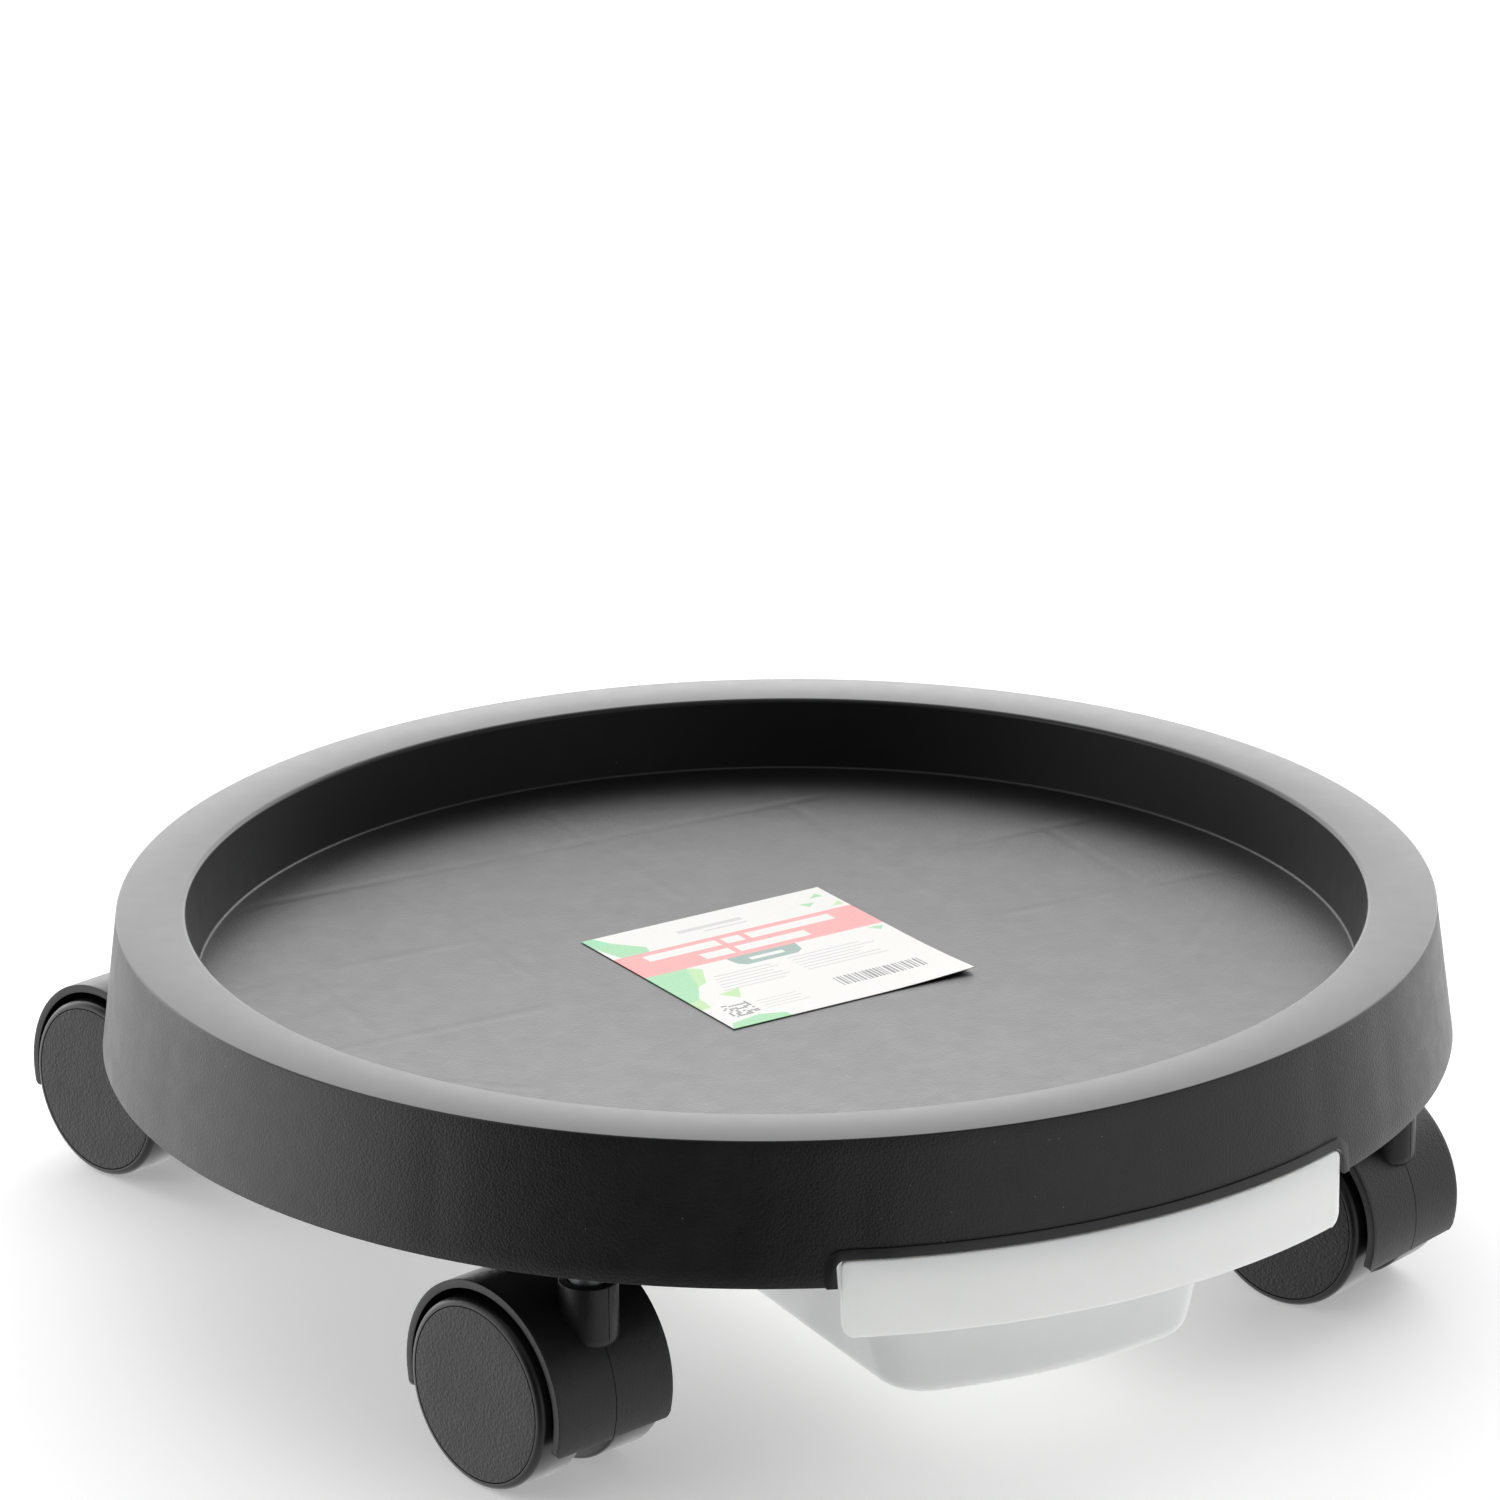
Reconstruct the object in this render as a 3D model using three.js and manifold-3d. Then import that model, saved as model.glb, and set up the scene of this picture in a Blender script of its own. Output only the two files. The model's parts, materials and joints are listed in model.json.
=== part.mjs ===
// Plant pot caddy: a round moulded tray on four twin-wheel swivel casters, with a
// translucent drawer that slides out from under it.
//
// Millimetres, +Z up. The origin is on the floor under the middle of the tray, and the
// drawer pulls out towards -Y.
import * as THREE from 'three';
import { mergeVertices } from 'three/addons/utils/BufferGeometryUtils.js';
import Module from 'manifold-3d';

const wasm = await Module();
wasm.setup();

// ---------------------------------------------------------------- driving dimensions

// Tray: one moulding with a flat rim, a sunk floor and a flared skirt.
const WALL = 2.4;
const TRAY_TOP = 78.9;
const RIM_RADIUS = 140;
const RIM_INNER_RADIUS = 125.3;
const FLOOR_TOP = 62.8;
const FLOOR_RADIUS = 123.7;
const SEAT_INNER_RADIUS = 48; // outside this the floor is clear of the label
const SKIRT_RADIUS = 143.9;
const SKIRT_BOTTOM = 49.2;
const RIM_ROUNDING = 0.8;

// Stiffening ribs under the tray.
const RIB = 1.6;
const RIB_BOTTOM = 53.4;
const REAR_RIB_Y = 86.5;
const STOP_RIB_Y = 43;
const SIDE_RIB_X = 92;
const RIB_BESIDE_CASTER = 12; // degrees each side of a caster

// Drawer opening in the skirt, with a raised bead round it.
const OPENING_HALF_WIDTH = 58.6;
const OPENING_TOP = 54.9;
const OPENING_CORNER = 1.8;
const BEAD_WIDTH = 2;
const BEAD_HEIGHT = 0.5;

// Drawer guides: a ridge above each drawer flange, and an L-shaped rail beside and below it.
const RIDGE_X = 49.5;
const RIDGE_BOTTOM = 52;
const RAIL_X = 54.9;
const RAIL_LIP_X = 50.6;
const RAIL_BOTTOM = 47.4;
const RAIL_LIP = 1.6;
const GUIDE_FRONT_Y = -112;

// Drawer: an open tub hung from a flange, behind a curved front panel.
const PANEL_RADIUS = SKIRT_RADIUS;
const PANEL_THICKNESS = 2;
const PANEL_HALF_WIDTH = 57.8;
const PANEL_BOTTOM = 38.4;
const PANEL_TOP = 54.6;
const PANEL_LOWER_CORNER = 3;
const PANEL_UPPER_CORNER = 1.7;
const FLANGE_TOP = 51.5;
const FLANGE_BOTTOM = 49.7;
const FLANGE_HALF_WIDTH = 52.4;
const FLANGE_STEP = 0.8;
const FLANGE_STEP_X = 50.4;
const FLANGE_BACK_Y = 45;
const TUB_HALF_WIDTH = 46;
const TUB_FRONT_RADIUS = 121.8;
const TUB_BACK_Y = 40.6;
const TUB_BOTTOM = 13.3;
const TUB_SIDE_DRAFT = 16; // degrees
const TUB_END_DRAFT = 3.5;
const TUB_CORNER = 9;
const TUB_FILLET = 5;
const TUB_WALL = 1.8;

// Casters: forty-millimetre twin wheels under a hood, each on a plain stem.
const PIVOT_RADIUS = 133;
const TRAIL = 15.5;
const WHEEL_RADIUS = 20;
const WHEEL_INNER = 4.5; // along the axle, from the middle of the caster
const WHEEL_OUTER = 17;
const TREAD_ROUNDING = 1.6;
const CAP_RADIUS = 18.4;
const CAP_THICKNESS = 1.2;
const HUB_RADIUS = 6.2;
const AXLE_RADIUS = 3;
const AXLE_HALF_LENGTH = 15.2;
const RUNNING_GAP = 0.3;
const HOOD_RADIUS = 23.35;
const HOOD_SHELL = 1.65;
const HOOD_HALF_WIDTH = 15.1;
const HOOD_FRONT_ANGLE = -19; // below the level of the axle, on the stem's side
const HOOD_BACK_ANGLE = 195;
const HOOD_CORNER = 2.6;
const WEB_HALF_WIDTH = 4.1;
const BOSS_RADIUS = 7;
const BARREL_RADIUS = 6.05;
const BARREL_TOP = 45;
const STEM_RADIUS = 4;
const STEM_TOP = 73.4;
const STEM_SHOULDER = 36.5;
const STEM_BOTTOM = 26;
const JOURNAL_RADIUS = 3;
const SOCKET_RADIUS = 6.7;
const SOCKET_DEPTH_Z = 74.4;
const SOCKET_BORE = 4.7;
const GROOVE_BOTTOM = 64;
const GROOVE_TOP = 69;
const GROOVE_RADIUS = 3.2;

// Where each caster stands round the tray, and which way its axle points at rest, degrees.
const CASTERS = [
  { name: 'front_left', place: 225, axle: 194.2 },
  { name: 'front_right', place: 315, axle: 201.6 },
  { name: 'rear_right', place: 45, axle: 197 },
  { name: 'rear_left', place: 135, axle: 196.3 },
];

// Label: a square paper sticker on the tray's floor.
const LABEL_WIDTH = 60.4;
const LABEL_LENGTH = 61.3;
const LABEL_THICKNESS = 0.2;
const LABEL_LIFT = 0.1;
const LABEL_X = 1.1;
const LABEL_Y = 2;
const LABEL_TURN = 4; // degrees

// Facets on round pieces.
const TRAY_FACETS = 80;
const WHEEL_FACETS = 28;
const PIN_FACETS = 12;
const BARREL_FACETS = 16;

const MARGIN = 1; // how far a cutter runs past what it cuts
const radians = THREE.MathUtils.degToRad;

// ---------------------------------------------------------------- materials

const blackPolypropylene = { color: 0x232425, roughness: 0.5, metalness: 0 };
const blackNylon = { color: 0x1d1e1f, roughness: 0.48, metalness: 0 };
const grainedNylon = { color: 0x242526, roughness: 0.62, metalness: 0 };
const naturalPolypropylene = { color: 0xe4e6e4, roughness: 0.35, metalness: 0 };
const zincPlatedSteel = { color: 0xb4b6b8, roughness: 0.3, metalness: 1 };
const printedPaper = { color: 0xf2efea, roughness: 0.7, metalness: 0 };

// ---------------------------------------------------------------- solids

// Turns a closed geometry into a solid that can be joined and cut.
function solid(geometry) {
  const bare = new THREE.BufferGeometry();
  bare.setAttribute('position', geometry.getAttribute('position').clone());
  if (geometry.index) bare.setIndex(geometry.index.clone());
  const merged = mergeVertices(bare, 1e-4);
  return new wasm.Manifold(new wasm.Mesh({
    numProp: 3,
    vertProperties: new Float32Array(merged.attributes.position.array),
    triVerts: new Uint32Array(merged.index.array),
  }));
}

function geometryOf(body) {
  const mesh = body.getMesh();
  const geometry = new THREE.BufferGeometry();
  geometry.setAttribute('position', new THREE.BufferAttribute(mesh.vertProperties, 3));
  geometry.setIndex(new THREE.BufferAttribute(mesh.triVerts, 1));
  const flat = geometry.toNonIndexed();
  flat.computeVertexNormals();
  return flat;
}

function join(bodies) {
  return bodies.reduce((whole, body) => whole.add(body));
}

// A solid of revolution about Z. The outline is a list of [radius, height] going up the
// outside, and either starts and ends on the axis or closes on itself.
function turned(outline, facets) {
  const onAxis = outline[0][0] === 0;
  const closed = onAxis ? outline : [...outline, outline[0]];
  const points = closed.map(([radius, height]) => new THREE.Vector2(radius, height));
  return solid(new THREE.LatheGeometry(points, facets).rotateX(Math.PI / 2));
}

// A ring or a disc between two radii and two heights.
function ring(inner, outer, bottom, top, facets) {
  return turned([[inner, bottom], [outer, bottom], [outer, top], [inner, top]], facets);
}

function block(x0, x1, y0, y1, z0, z1) {
  const box = new THREE.BoxGeometry(x1 - x0, y1 - y0, z1 - z0);
  return solid(box.translate((x0 + x1) / 2, (y0 + y1) / 2, (z0 + z1) / 2));
}

// Extrudes a shape drawn in X and Y between two heights.
function raised(shape, bottom, top) {
  const options = { depth: top - bottom, bevelEnabled: false, curveSegments: 8 };
  return solid(new THREE.ExtrudeGeometry(shape, options).translate(0, 0, bottom));
}

// Extrudes a shape drawn in X and Z from y0 to y1.
function alongY(shape, y0, y1) {
  const options = { depth: y1 - y0, bevelEnabled: false, curveSegments: 4 };
  const geometry = new THREE.ExtrudeGeometry(shape, options);
  return solid(geometry.rotateX(Math.PI / 2).translate(0, y1, 0));
}

// Extrudes a shape drawn in Y and Z from x0 to x1.
function alongX(shape, x0, x1) {
  const options = { depth: x1 - x0, bevelEnabled: false, curveSegments: 14 };
  const geometry = new THREE.ExtrudeGeometry(shape, options);
  const turn = new THREE.Matrix4().makeBasis(
    new THREE.Vector3(0, 1, 0),
    new THREE.Vector3(0, 0, 1),
    new THREE.Vector3(1, 0, 0),
  );
  return solid(geometry.applyMatrix4(turn).translate(x0, 0, 0));
}

// A rectangle with its own radius at the lower and the upper corners.
function roundedRectangle(x0, x1, y0, y1, lower, upper) {
  const shape = new THREE.Shape();
  shape.moveTo(x0 + lower, y0);
  shape.lineTo(x1 - lower, y0);
  shape.absarc(x1 - lower, y0 + lower, lower, -Math.PI / 2, 0);
  shape.absarc(x1 - upper, y1 - upper, upper, 0, Math.PI / 2);
  shape.absarc(x0 + upper, y1 - upper, upper, Math.PI / 2, Math.PI);
  shape.absarc(x0 + lower, y0 + lower, lower, Math.PI, Math.PI * 1.5);
  return shape;
}

// Joins matching rings of points, bottom to top, into one closed skin. Each ring goes
// anticlockwise seen from above.
function lofted(rings) {
  const count = rings[0].length;
  const positions = [];
  const index = [];
  for (const points of rings) {
    for (const point of points) positions.push(...point);
  }
  for (let level = 0; level + 1 < rings.length; level += 1) {
    for (let i = 0; i < count; i += 1) {
      const a = level * count + i;
      const b = level * count + ((i + 1) % count);
      index.push(a, b, b + count, a, b + count, a + count);
    }
  }
  const outline = rings[0].map(([x, y]) => new THREE.Vector2(x, y));
  const lid = (rings.length - 1) * count;
  for (const [a, b, c] of THREE.ShapeUtils.triangulateShape(outline, [])) {
    index.push(a, c, b, lid + a, lid + b, lid + c);
  }
  const geometry = new THREE.BufferGeometry();
  geometry.setAttribute('position', new THREE.Float32BufferAttribute(positions, 3));
  geometry.setIndex(index);
  return solid(geometry);
}

// ---------------------------------------------------------------- scene graph

const caddy = new THREE.Group();
caddy.name = 'plant_pot_caddy';

function addPiece(parent, name, body, finish) {
  const mesh = new THREE.Mesh(geometryOf(body), new THREE.MeshStandardMaterial(finish));
  mesh.name = name;
  parent.add(mesh);
}

// ---------------------------------------------------------------- tray

// Radius of the skirt's outside at a height, less a depth into its wall.
function skirtRadius(height, depth = 0) {
  const part = (TRAY_TOP - height) / (TRAY_TOP - SKIRT_BOTTOM);
  return RIM_RADIUS + part * (SKIRT_RADIUS - RIM_RADIUS) - depth;
}

function trayShell() {
  const underRim = TRAY_TOP - WALL;
  const underFloor = FLOOR_TOP - WALL;
  return turned([
    [0, underFloor],
    [FLOOR_RADIUS + WALL, underFloor],
    [RIM_INNER_RADIUS + WALL, underRim],
    [skirtRadius(underRim, WALL), underRim],
    [skirtRadius(SKIRT_BOTTOM, WALL), SKIRT_BOTTOM],
    [SKIRT_RADIUS, SKIRT_BOTTOM],
    [RIM_RADIUS, TRAY_TOP],
    [RIM_INNER_RADIUS + RIM_ROUNDING, TRAY_TOP],
    [RIM_INNER_RADIUS, TRAY_TOP - RIM_ROUNDING],
    [FLOOR_RADIUS, FLOOR_TOP],
    [SEAT_INNER_RADIUS, FLOOR_TOP],
    [0, FLOOR_TOP],
  ], TRAY_FACETS);
}

// Ribs that cross the channel between the recess wall and the skirt.
function channelRibs() {
  const beside = CASTERS.flatMap(({ place }) => [
    place - RIB_BESIDE_CASTER,
    place + RIB_BESIDE_CASTER,
  ]);
  return [0, 90, 180, 270, ...beside].map((angle) => {
    const bottom = angle === 270 ? OPENING_TOP + BEAD_WIDTH : RIB_BOTTOM;
    const rib = block(FLOOR_RADIUS, SKIRT_RADIUS, -RIB / 2, RIB / 2, bottom, TRAY_TOP - WALL / 2);
    return rib.rotate([0, 0, angle]);
  });
}

// Ribs across the underside of the floor, the same on both sides of the drawer.
function floorRibs() {
  const top = FLOOR_TOP - WALL / 2;
  const across = (x0, x1, y) => block(x0, x1, y - RIB / 2, y + RIB / 2, RIB_BOTTOM, top);
  const along = (x, y0, y1) => block(x - RIB / 2, x + RIB / 2, y0, y1, RIB_BOTTOM, top);
  const braceX = 91;
  const braceY = -27;
  const braceHalfLength = 19;
  const brace = block(-braceHalfLength, braceHalfLength, -RIB / 2, RIB / 2, RIB_BOTTOM, top);
  const oneSide = [
    across(RIDGE_X, FLOOR_RADIUS, STOP_RIB_Y),
    across(RAIL_X, FLOOR_RADIUS, 0),
    along(RIDGE_X, STOP_RIB_Y, REAR_RIB_Y),
    along(SIDE_RIB_X, 0, STOP_RIB_Y),
    brace.rotate([0, 0, 43]).translate([braceX, braceY, 0]),
  ];
  return [
    ...oneSide,
    ...oneSide.map((rib) => rib.mirror([1, 0, 0])),
    across(-FLOOR_RADIUS, FLOOR_RADIUS, REAR_RIB_Y),
    along(0, STOP_RIB_Y, FLOOR_RADIUS),
  ];
}

// The drawer's guides on both sides: ridge, rail and lip, tied to the skirt at the front.
function drawerGuides() {
  const top = FLOOR_TOP - WALL / 2;
  const railOuter = RAIL_X + RIB / 2;
  const railInner = RAIL_X - RIB / 2;
  const tieBottom = OPENING_TOP + BEAD_WIDTH;
  const oneSide = [
    block(RIDGE_X - RIB / 2, RIDGE_X + RIB / 2, GUIDE_FRONT_Y, STOP_RIB_Y, RIDGE_BOTTOM, top),
    block(railInner, railOuter, GUIDE_FRONT_Y, STOP_RIB_Y, RAIL_BOTTOM, top),
    block(RAIL_LIP_X, railOuter, GUIDE_FRONT_Y, STOP_RIB_Y, RAIL_BOTTOM, RAIL_BOTTOM + RAIL_LIP),
    block(railInner, railOuter, -SKIRT_RADIUS, GUIDE_FRONT_Y + MARGIN, tieBottom, TRAY_TOP - WALL / 2),
  ];
  return [...oneSide, ...oneSide.map((guide) => guide.mirror([1, 0, 0]))];
}

function casterSockets() {
  return CASTERS.map(({ place }) => {
    const boss = ring(SOCKET_BORE, SOCKET_RADIUS, SKIRT_BOTTOM + MARGIN, SOCKET_DEPTH_Z, PIN_FACETS);
    const crown = turned([
      [0, SOCKET_DEPTH_Z - MARGIN / 2],
      [SOCKET_RADIUS, SOCKET_DEPTH_Z - MARGIN / 2],
      [SOCKET_RADIUS, TRAY_TOP - WALL / 2],
      [0, TRAY_TOP - WALL / 2],
    ], PIN_FACETS);
    return boss.add(crown).translate([PIVOT_RADIUS, 0, 0]).rotate([0, 0, place]);
  });
}

// Everything under the tray is drawn too long, then trimmed inside the skirt's wall and
// clear of the recess.
function trimmedUnderside() {
  const below = RAIL_BOTTOM - MARGIN;
  const insideSkirt = turned([
    [0, below],
    [skirtRadius(below, WALL / 2), below],
    [skirtRadius(TRAY_TOP, WALL / 2), TRAY_TOP],
    [0, TRAY_TOP],
  ], TRAY_FACETS);
  const recess = turned([
    [0, FLOOR_TOP - WALL / 2],
    [FLOOR_RADIUS + WALL / 2, FLOOR_TOP - WALL / 2],
    [RIM_INNER_RADIUS + WALL / 2, TRAY_TOP],
    [0, TRAY_TOP],
  ], TRAY_FACETS);
  const all = join([...channelRibs(), ...floorRibs(), ...drawerGuides(), ...casterSockets()]);
  return all.intersect(insideSkirt).subtract(recess);
}

function openingCutter(margin) {
  const half = OPENING_HALF_WIDTH + margin;
  const corner = OPENING_CORNER + margin;
  const shape = roundedRectangle(-half, half, RAIL_BOTTOM, OPENING_TOP + margin, 0.5, corner);
  return alongY(shape, -SKIRT_RADIUS - MARGIN, GUIDE_FRONT_Y - MARGIN);
}

function makeTray() {
  const proud = (height) => skirtRadius(height, -BEAD_HEIGHT);
  const beadTop = OPENING_TOP + BEAD_WIDTH;
  const beadBlank = turned([
    [skirtRadius(SKIRT_BOTTOM, WALL / 2), SKIRT_BOTTOM],
    [proud(SKIRT_BOTTOM), SKIRT_BOTTOM],
    [proud(beadTop), beadTop],
    [skirtRadius(beadTop, WALL / 2), beadTop],
  ], TRAY_FACETS);
  const bead = beadBlank.intersect(openingCutter(BEAD_WIDTH));
  return trayShell().add(trimmedUnderside()).add(bead).subtract(openingCutter(0));
}

addPiece(caddy, 'tray', makeTray(), blackPolypropylene);

// ---------------------------------------------------------------- drawer

// The tub's outline at one height: straight sides and back, and a front that bows out on a
// circle about the tray's middle. Points go anticlockwise from the front's left end.
function tubOutline(halfWidth, frontRadius, backY, corner, height) {
  const frontSteps = 10;
  const cornerSteps = 4;
  const centreX = halfWidth - corner;
  const frontCentreY = -Math.sqrt((frontRadius - corner) ** 2 - centreX ** 2);
  const frontAngle = Math.atan2(frontCentreY, centreX);
  const points = [];
  const sweep = (x, y, radius, from, to, steps) => {
    for (let i = 0; i <= steps; i += 1) {
      const angle = from + ((to - from) * i) / steps;
      points.push([x + radius * Math.cos(angle), y + radius * Math.sin(angle), height]);
    }
  };
  const leftFrontAngle = -Math.PI - frontAngle;
  const step = (frontAngle - leftFrontAngle) / frontSteps;
  sweep(0, 0, frontRadius, leftFrontAngle + step, frontAngle - step, frontSteps - 2);
  sweep(centreX, frontCentreY, corner, frontAngle, 0, cornerSteps);
  sweep(centreX, backY - corner, corner, 0, Math.PI / 2, cornerSteps);
  sweep(-centreX, backY - corner, corner, Math.PI / 2, Math.PI, cornerSteps);
  sweep(-centreX, frontCentreY, corner, -Math.PI, leftFrontAngle, cornerSteps);
  return points;
}

// The tub's skin, moved inwards by a wall thickness, from its rounded foot to a given top.
function tubSkin(wall, top) {
  const bottom = TUB_BOTTOM + wall;
  const fillet = TUB_FILLET - wall;
  const level = (height, tuck) => {
    const drop = FLANGE_TOP - height;
    const side = TUB_HALF_WIDTH - drop * Math.tan(radians(TUB_SIDE_DRAFT));
    const end = drop * Math.tan(radians(TUB_END_DRAFT));
    const inset = wall + tuck;
    return tubOutline(
      side - inset,
      TUB_FRONT_RADIUS - end - inset,
      TUB_BACK_Y - end - inset,
      TUB_CORNER - inset / 2,
      height,
    );
  };
  const half = Math.SQRT1_2;
  return lofted([
    level(bottom, fillet),
    level(bottom + fillet * (1 - half), fillet * (1 - half)),
    level(bottom + fillet, 0),
    level(top, 0),
  ]);
}

// The flange's outline: straight sides and back, and the panel's circle in front.
function flangeOutline(halfWidth, backY) {
  const radius = PANEL_RADIUS - PANEL_THICKNESS / 2;
  const angle = Math.asin(halfWidth / radius);
  const shape = new THREE.Shape();
  shape.moveTo(halfWidth, backY);
  shape.lineTo(-halfWidth, backY);
  shape.absarc(0, 0, radius, -Math.PI / 2 - angle, -Math.PI / 2 + angle);
  return shape;
}

function makeDrawer() {
  const panelRing = ring(
    PANEL_RADIUS - PANEL_THICKNESS,
    PANEL_RADIUS,
    PANEL_BOTTOM - MARGIN,
    PANEL_TOP + MARGIN,
    TRAY_FACETS,
  );
  const panelShape = roundedRectangle(
    -PANEL_HALF_WIDTH,
    PANEL_HALF_WIDTH,
    PANEL_BOTTOM,
    PANEL_TOP,
    PANEL_LOWER_CORNER,
    PANEL_UPPER_CORNER,
  );
  const panel = panelRing.intersect(alongY(panelShape, -SKIRT_RADIUS - MARGIN, GUIDE_FRONT_Y));
  const lower = FLANGE_TOP - FLANGE_STEP;
  const flange = raised(flangeOutline(FLANGE_HALF_WIDTH, FLANGE_BACK_Y), FLANGE_BOTTOM, lower);
  const stepUp = raised(flangeOutline(FLANGE_STEP_X, FLANGE_BACK_Y - RIB), lower - 0.1, FLANGE_TOP);
  const outside = tubSkin(0, FLANGE_BOTTOM + 0.1);
  const inside = tubSkin(TUB_WALL, FLANGE_TOP + MARGIN);
  return join([panel, flange, stepUp, outside]).subtract(inside);
}

addPiece(caddy, 'drawer', makeDrawer(), naturalPolypropylene);

// ---------------------------------------------------------------- casters

// A solid of revolution about the axle. The outline's heights become distances along it.
function aboutAxle(outline, facets) {
  return turned(outline, facets).rotate([0, 90, 0]).translate([0, -TRAIL, WHEEL_RADIUS]);
}

// The hood's side view: a thick arc about the axle with rounded lower ends.
function hoodOutline(inner, outer) {
  const from = radians(HOOD_FRONT_ANGLE);
  const to = radians(HOOD_BACK_ANGLE);
  const shape = new THREE.Shape();
  shape.absarc(-TRAIL, WHEEL_RADIUS, outer, from, to, false);
  shape.absarc(-TRAIL, WHEEL_RADIUS, inner, to, from, true);
  return shape;
}

// The web between the wheels: it fills the hood and runs down round the axle's boss.
function webOutline() {
  const shape = new THREE.Shape();
  const from = radians(HOOD_FRONT_ANGLE);
  const to = radians(HOOD_BACK_ANGLE);
  shape.absarc(-TRAIL, WHEEL_RADIUS, HOOD_RADIUS - HOOD_SHELL / 2, from, to, false);
  shape.absarc(-TRAIL, WHEEL_RADIUS, BOSS_RADIUS, radians(225), radians(315), false);
  return shape;
}

// Cuts that round the four lower corners of the hood, seen from its ends.
function hoodCornerCutters() {
  const cutters = [];
  const farOut = HOOD_RADIUS + MARGIN;
  for (const [angle, side] of [[HOOD_FRONT_ANGLE, 1], [HOOD_BACK_ANGLE, -1]]) {
    const lowest = WHEEL_RADIUS + HOOD_RADIUS * Math.sin(radians(angle));
    for (const flip of [1, -1]) {
      const x = HOOD_HALF_WIDTH - HOOD_CORNER;
      const z = lowest + HOOD_CORNER;
      const shape = new THREE.Shape();
      shape.moveTo(x, z - HOOD_CORNER);
      shape.absarc(x, z, HOOD_CORNER, -Math.PI / 2, 0, false);
      shape.lineTo(x + HOOD_CORNER + MARGIN, z);
      shape.lineTo(x + HOOD_CORNER + MARGIN, z - HOOD_CORNER - MARGIN);
      shape.lineTo(x, z - HOOD_CORNER - MARGIN);
      const near = -TRAIL + (side > 0 ? HUB_RADIUS : -farOut);
      const cutter = alongY(shape, near, near + farOut - HUB_RADIUS);
      cutters.push(flip > 0 ? cutter : cutter.mirror([1, 0, 0]));
    }
  }
  return join(cutters);
}

function makeHousing() {
  const inner = HOOD_RADIUS - HOOD_SHELL;
  const hood = alongX(hoodOutline(inner, HOOD_RADIUS), -HOOD_HALF_WIDTH, HOOD_HALF_WIDTH);
  const web = alongX(webOutline(), -WEB_HALF_WIDTH, WEB_HALF_WIDTH);
  const barrel = turned([
    [0, WHEEL_RADIUS],
    [BARREL_RADIUS, WHEEL_RADIUS],
    [BARREL_RADIUS, BARREL_TOP],
    [0, BARREL_TOP],
  ], BARREL_FACETS);
  const wheelRoom = aboutAxle([
    [0, WEB_HALF_WIDTH],
    [inner, WEB_HALF_WIDTH],
    [inner, HOOD_HALF_WIDTH + MARGIN],
    [0, HOOD_HALF_WIDTH + MARGIN],
  ], WHEEL_FACETS);
  const otherRoom = wheelRoom.mirror([1, 0, 0]);
  const axleHole = aboutAxle([
    [0, -WEB_HALF_WIDTH - MARGIN],
    [AXLE_RADIUS + RUNNING_GAP, -WEB_HALF_WIDTH - MARGIN],
    [AXLE_RADIUS + RUNNING_GAP, WEB_HALF_WIDTH + MARGIN],
    [0, WEB_HALF_WIDTH + MARGIN],
  ], PIN_FACETS);
  const stemHole = turned([
    [0, STEM_BOTTOM - RUNNING_GAP],
    [JOURNAL_RADIUS + RUNNING_GAP, STEM_BOTTOM - RUNNING_GAP],
    [JOURNAL_RADIUS + RUNNING_GAP, STEM_SHOULDER - RUNNING_GAP],
    [STEM_RADIUS + RUNNING_GAP, STEM_SHOULDER - RUNNING_GAP],
    [STEM_RADIUS + RUNNING_GAP, BARREL_TOP + MARGIN],
    [0, BARREL_TOP + MARGIN],
  ], PIN_FACETS);
  const shell = hood.subtract(hoodCornerCutters());
  const core = join([web, barrel]).subtract(wheelRoom).subtract(otherRoom);
  return shell.add(core).subtract(axleHole).subtract(stemHole);
}

// Steel stem: a journal in the housing and a grooved shank in the tray's socket.
function makeStem() {
  const chamfer = 1.2;
  return turned([
    [0, STEM_BOTTOM],
    [JOURNAL_RADIUS, STEM_BOTTOM],
    [JOURNAL_RADIUS, STEM_SHOULDER],
    [STEM_RADIUS, STEM_SHOULDER],
    [STEM_RADIUS, GROOVE_BOTTOM],
    [GROOVE_RADIUS, GROOVE_BOTTOM],
    [GROOVE_RADIUS, GROOVE_TOP],
    [STEM_RADIUS, GROOVE_TOP],
    [STEM_RADIUS, STEM_TOP - chamfer],
    [STEM_RADIUS - chamfer, STEM_TOP],
    [0, STEM_TOP],
  ], PIN_FACETS);
}

// Split spring ring in the stem's groove, which grips the socket.
function makeGripRing() {
  const gap = 0.2;
  const whole = ring(
    GROOVE_RADIUS + gap,
    SOCKET_BORE - gap,
    GROOVE_BOTTOM + RUNNING_GAP,
    GROOVE_TOP - RUNNING_GAP,
    PIN_FACETS,
  );
  const slit = block(0, SOCKET_RADIUS, -0.6, 0.6, GROOVE_BOTTOM, GROOVE_TOP);
  return whole.subtract(slit);
}

function makeAxle() {
  const chamfer = 0.5;
  return aboutAxle([
    [0, -AXLE_HALF_LENGTH],
    [AXLE_RADIUS - chamfer, -AXLE_HALF_LENGTH],
    [AXLE_RADIUS, -AXLE_HALF_LENGTH + chamfer],
    [AXLE_RADIUS, AXLE_HALF_LENGTH - chamfer],
    [AXLE_RADIUS - chamfer, AXLE_HALF_LENGTH],
    [0, AXLE_HALF_LENGTH],
  ], PIN_FACETS);
}

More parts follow.
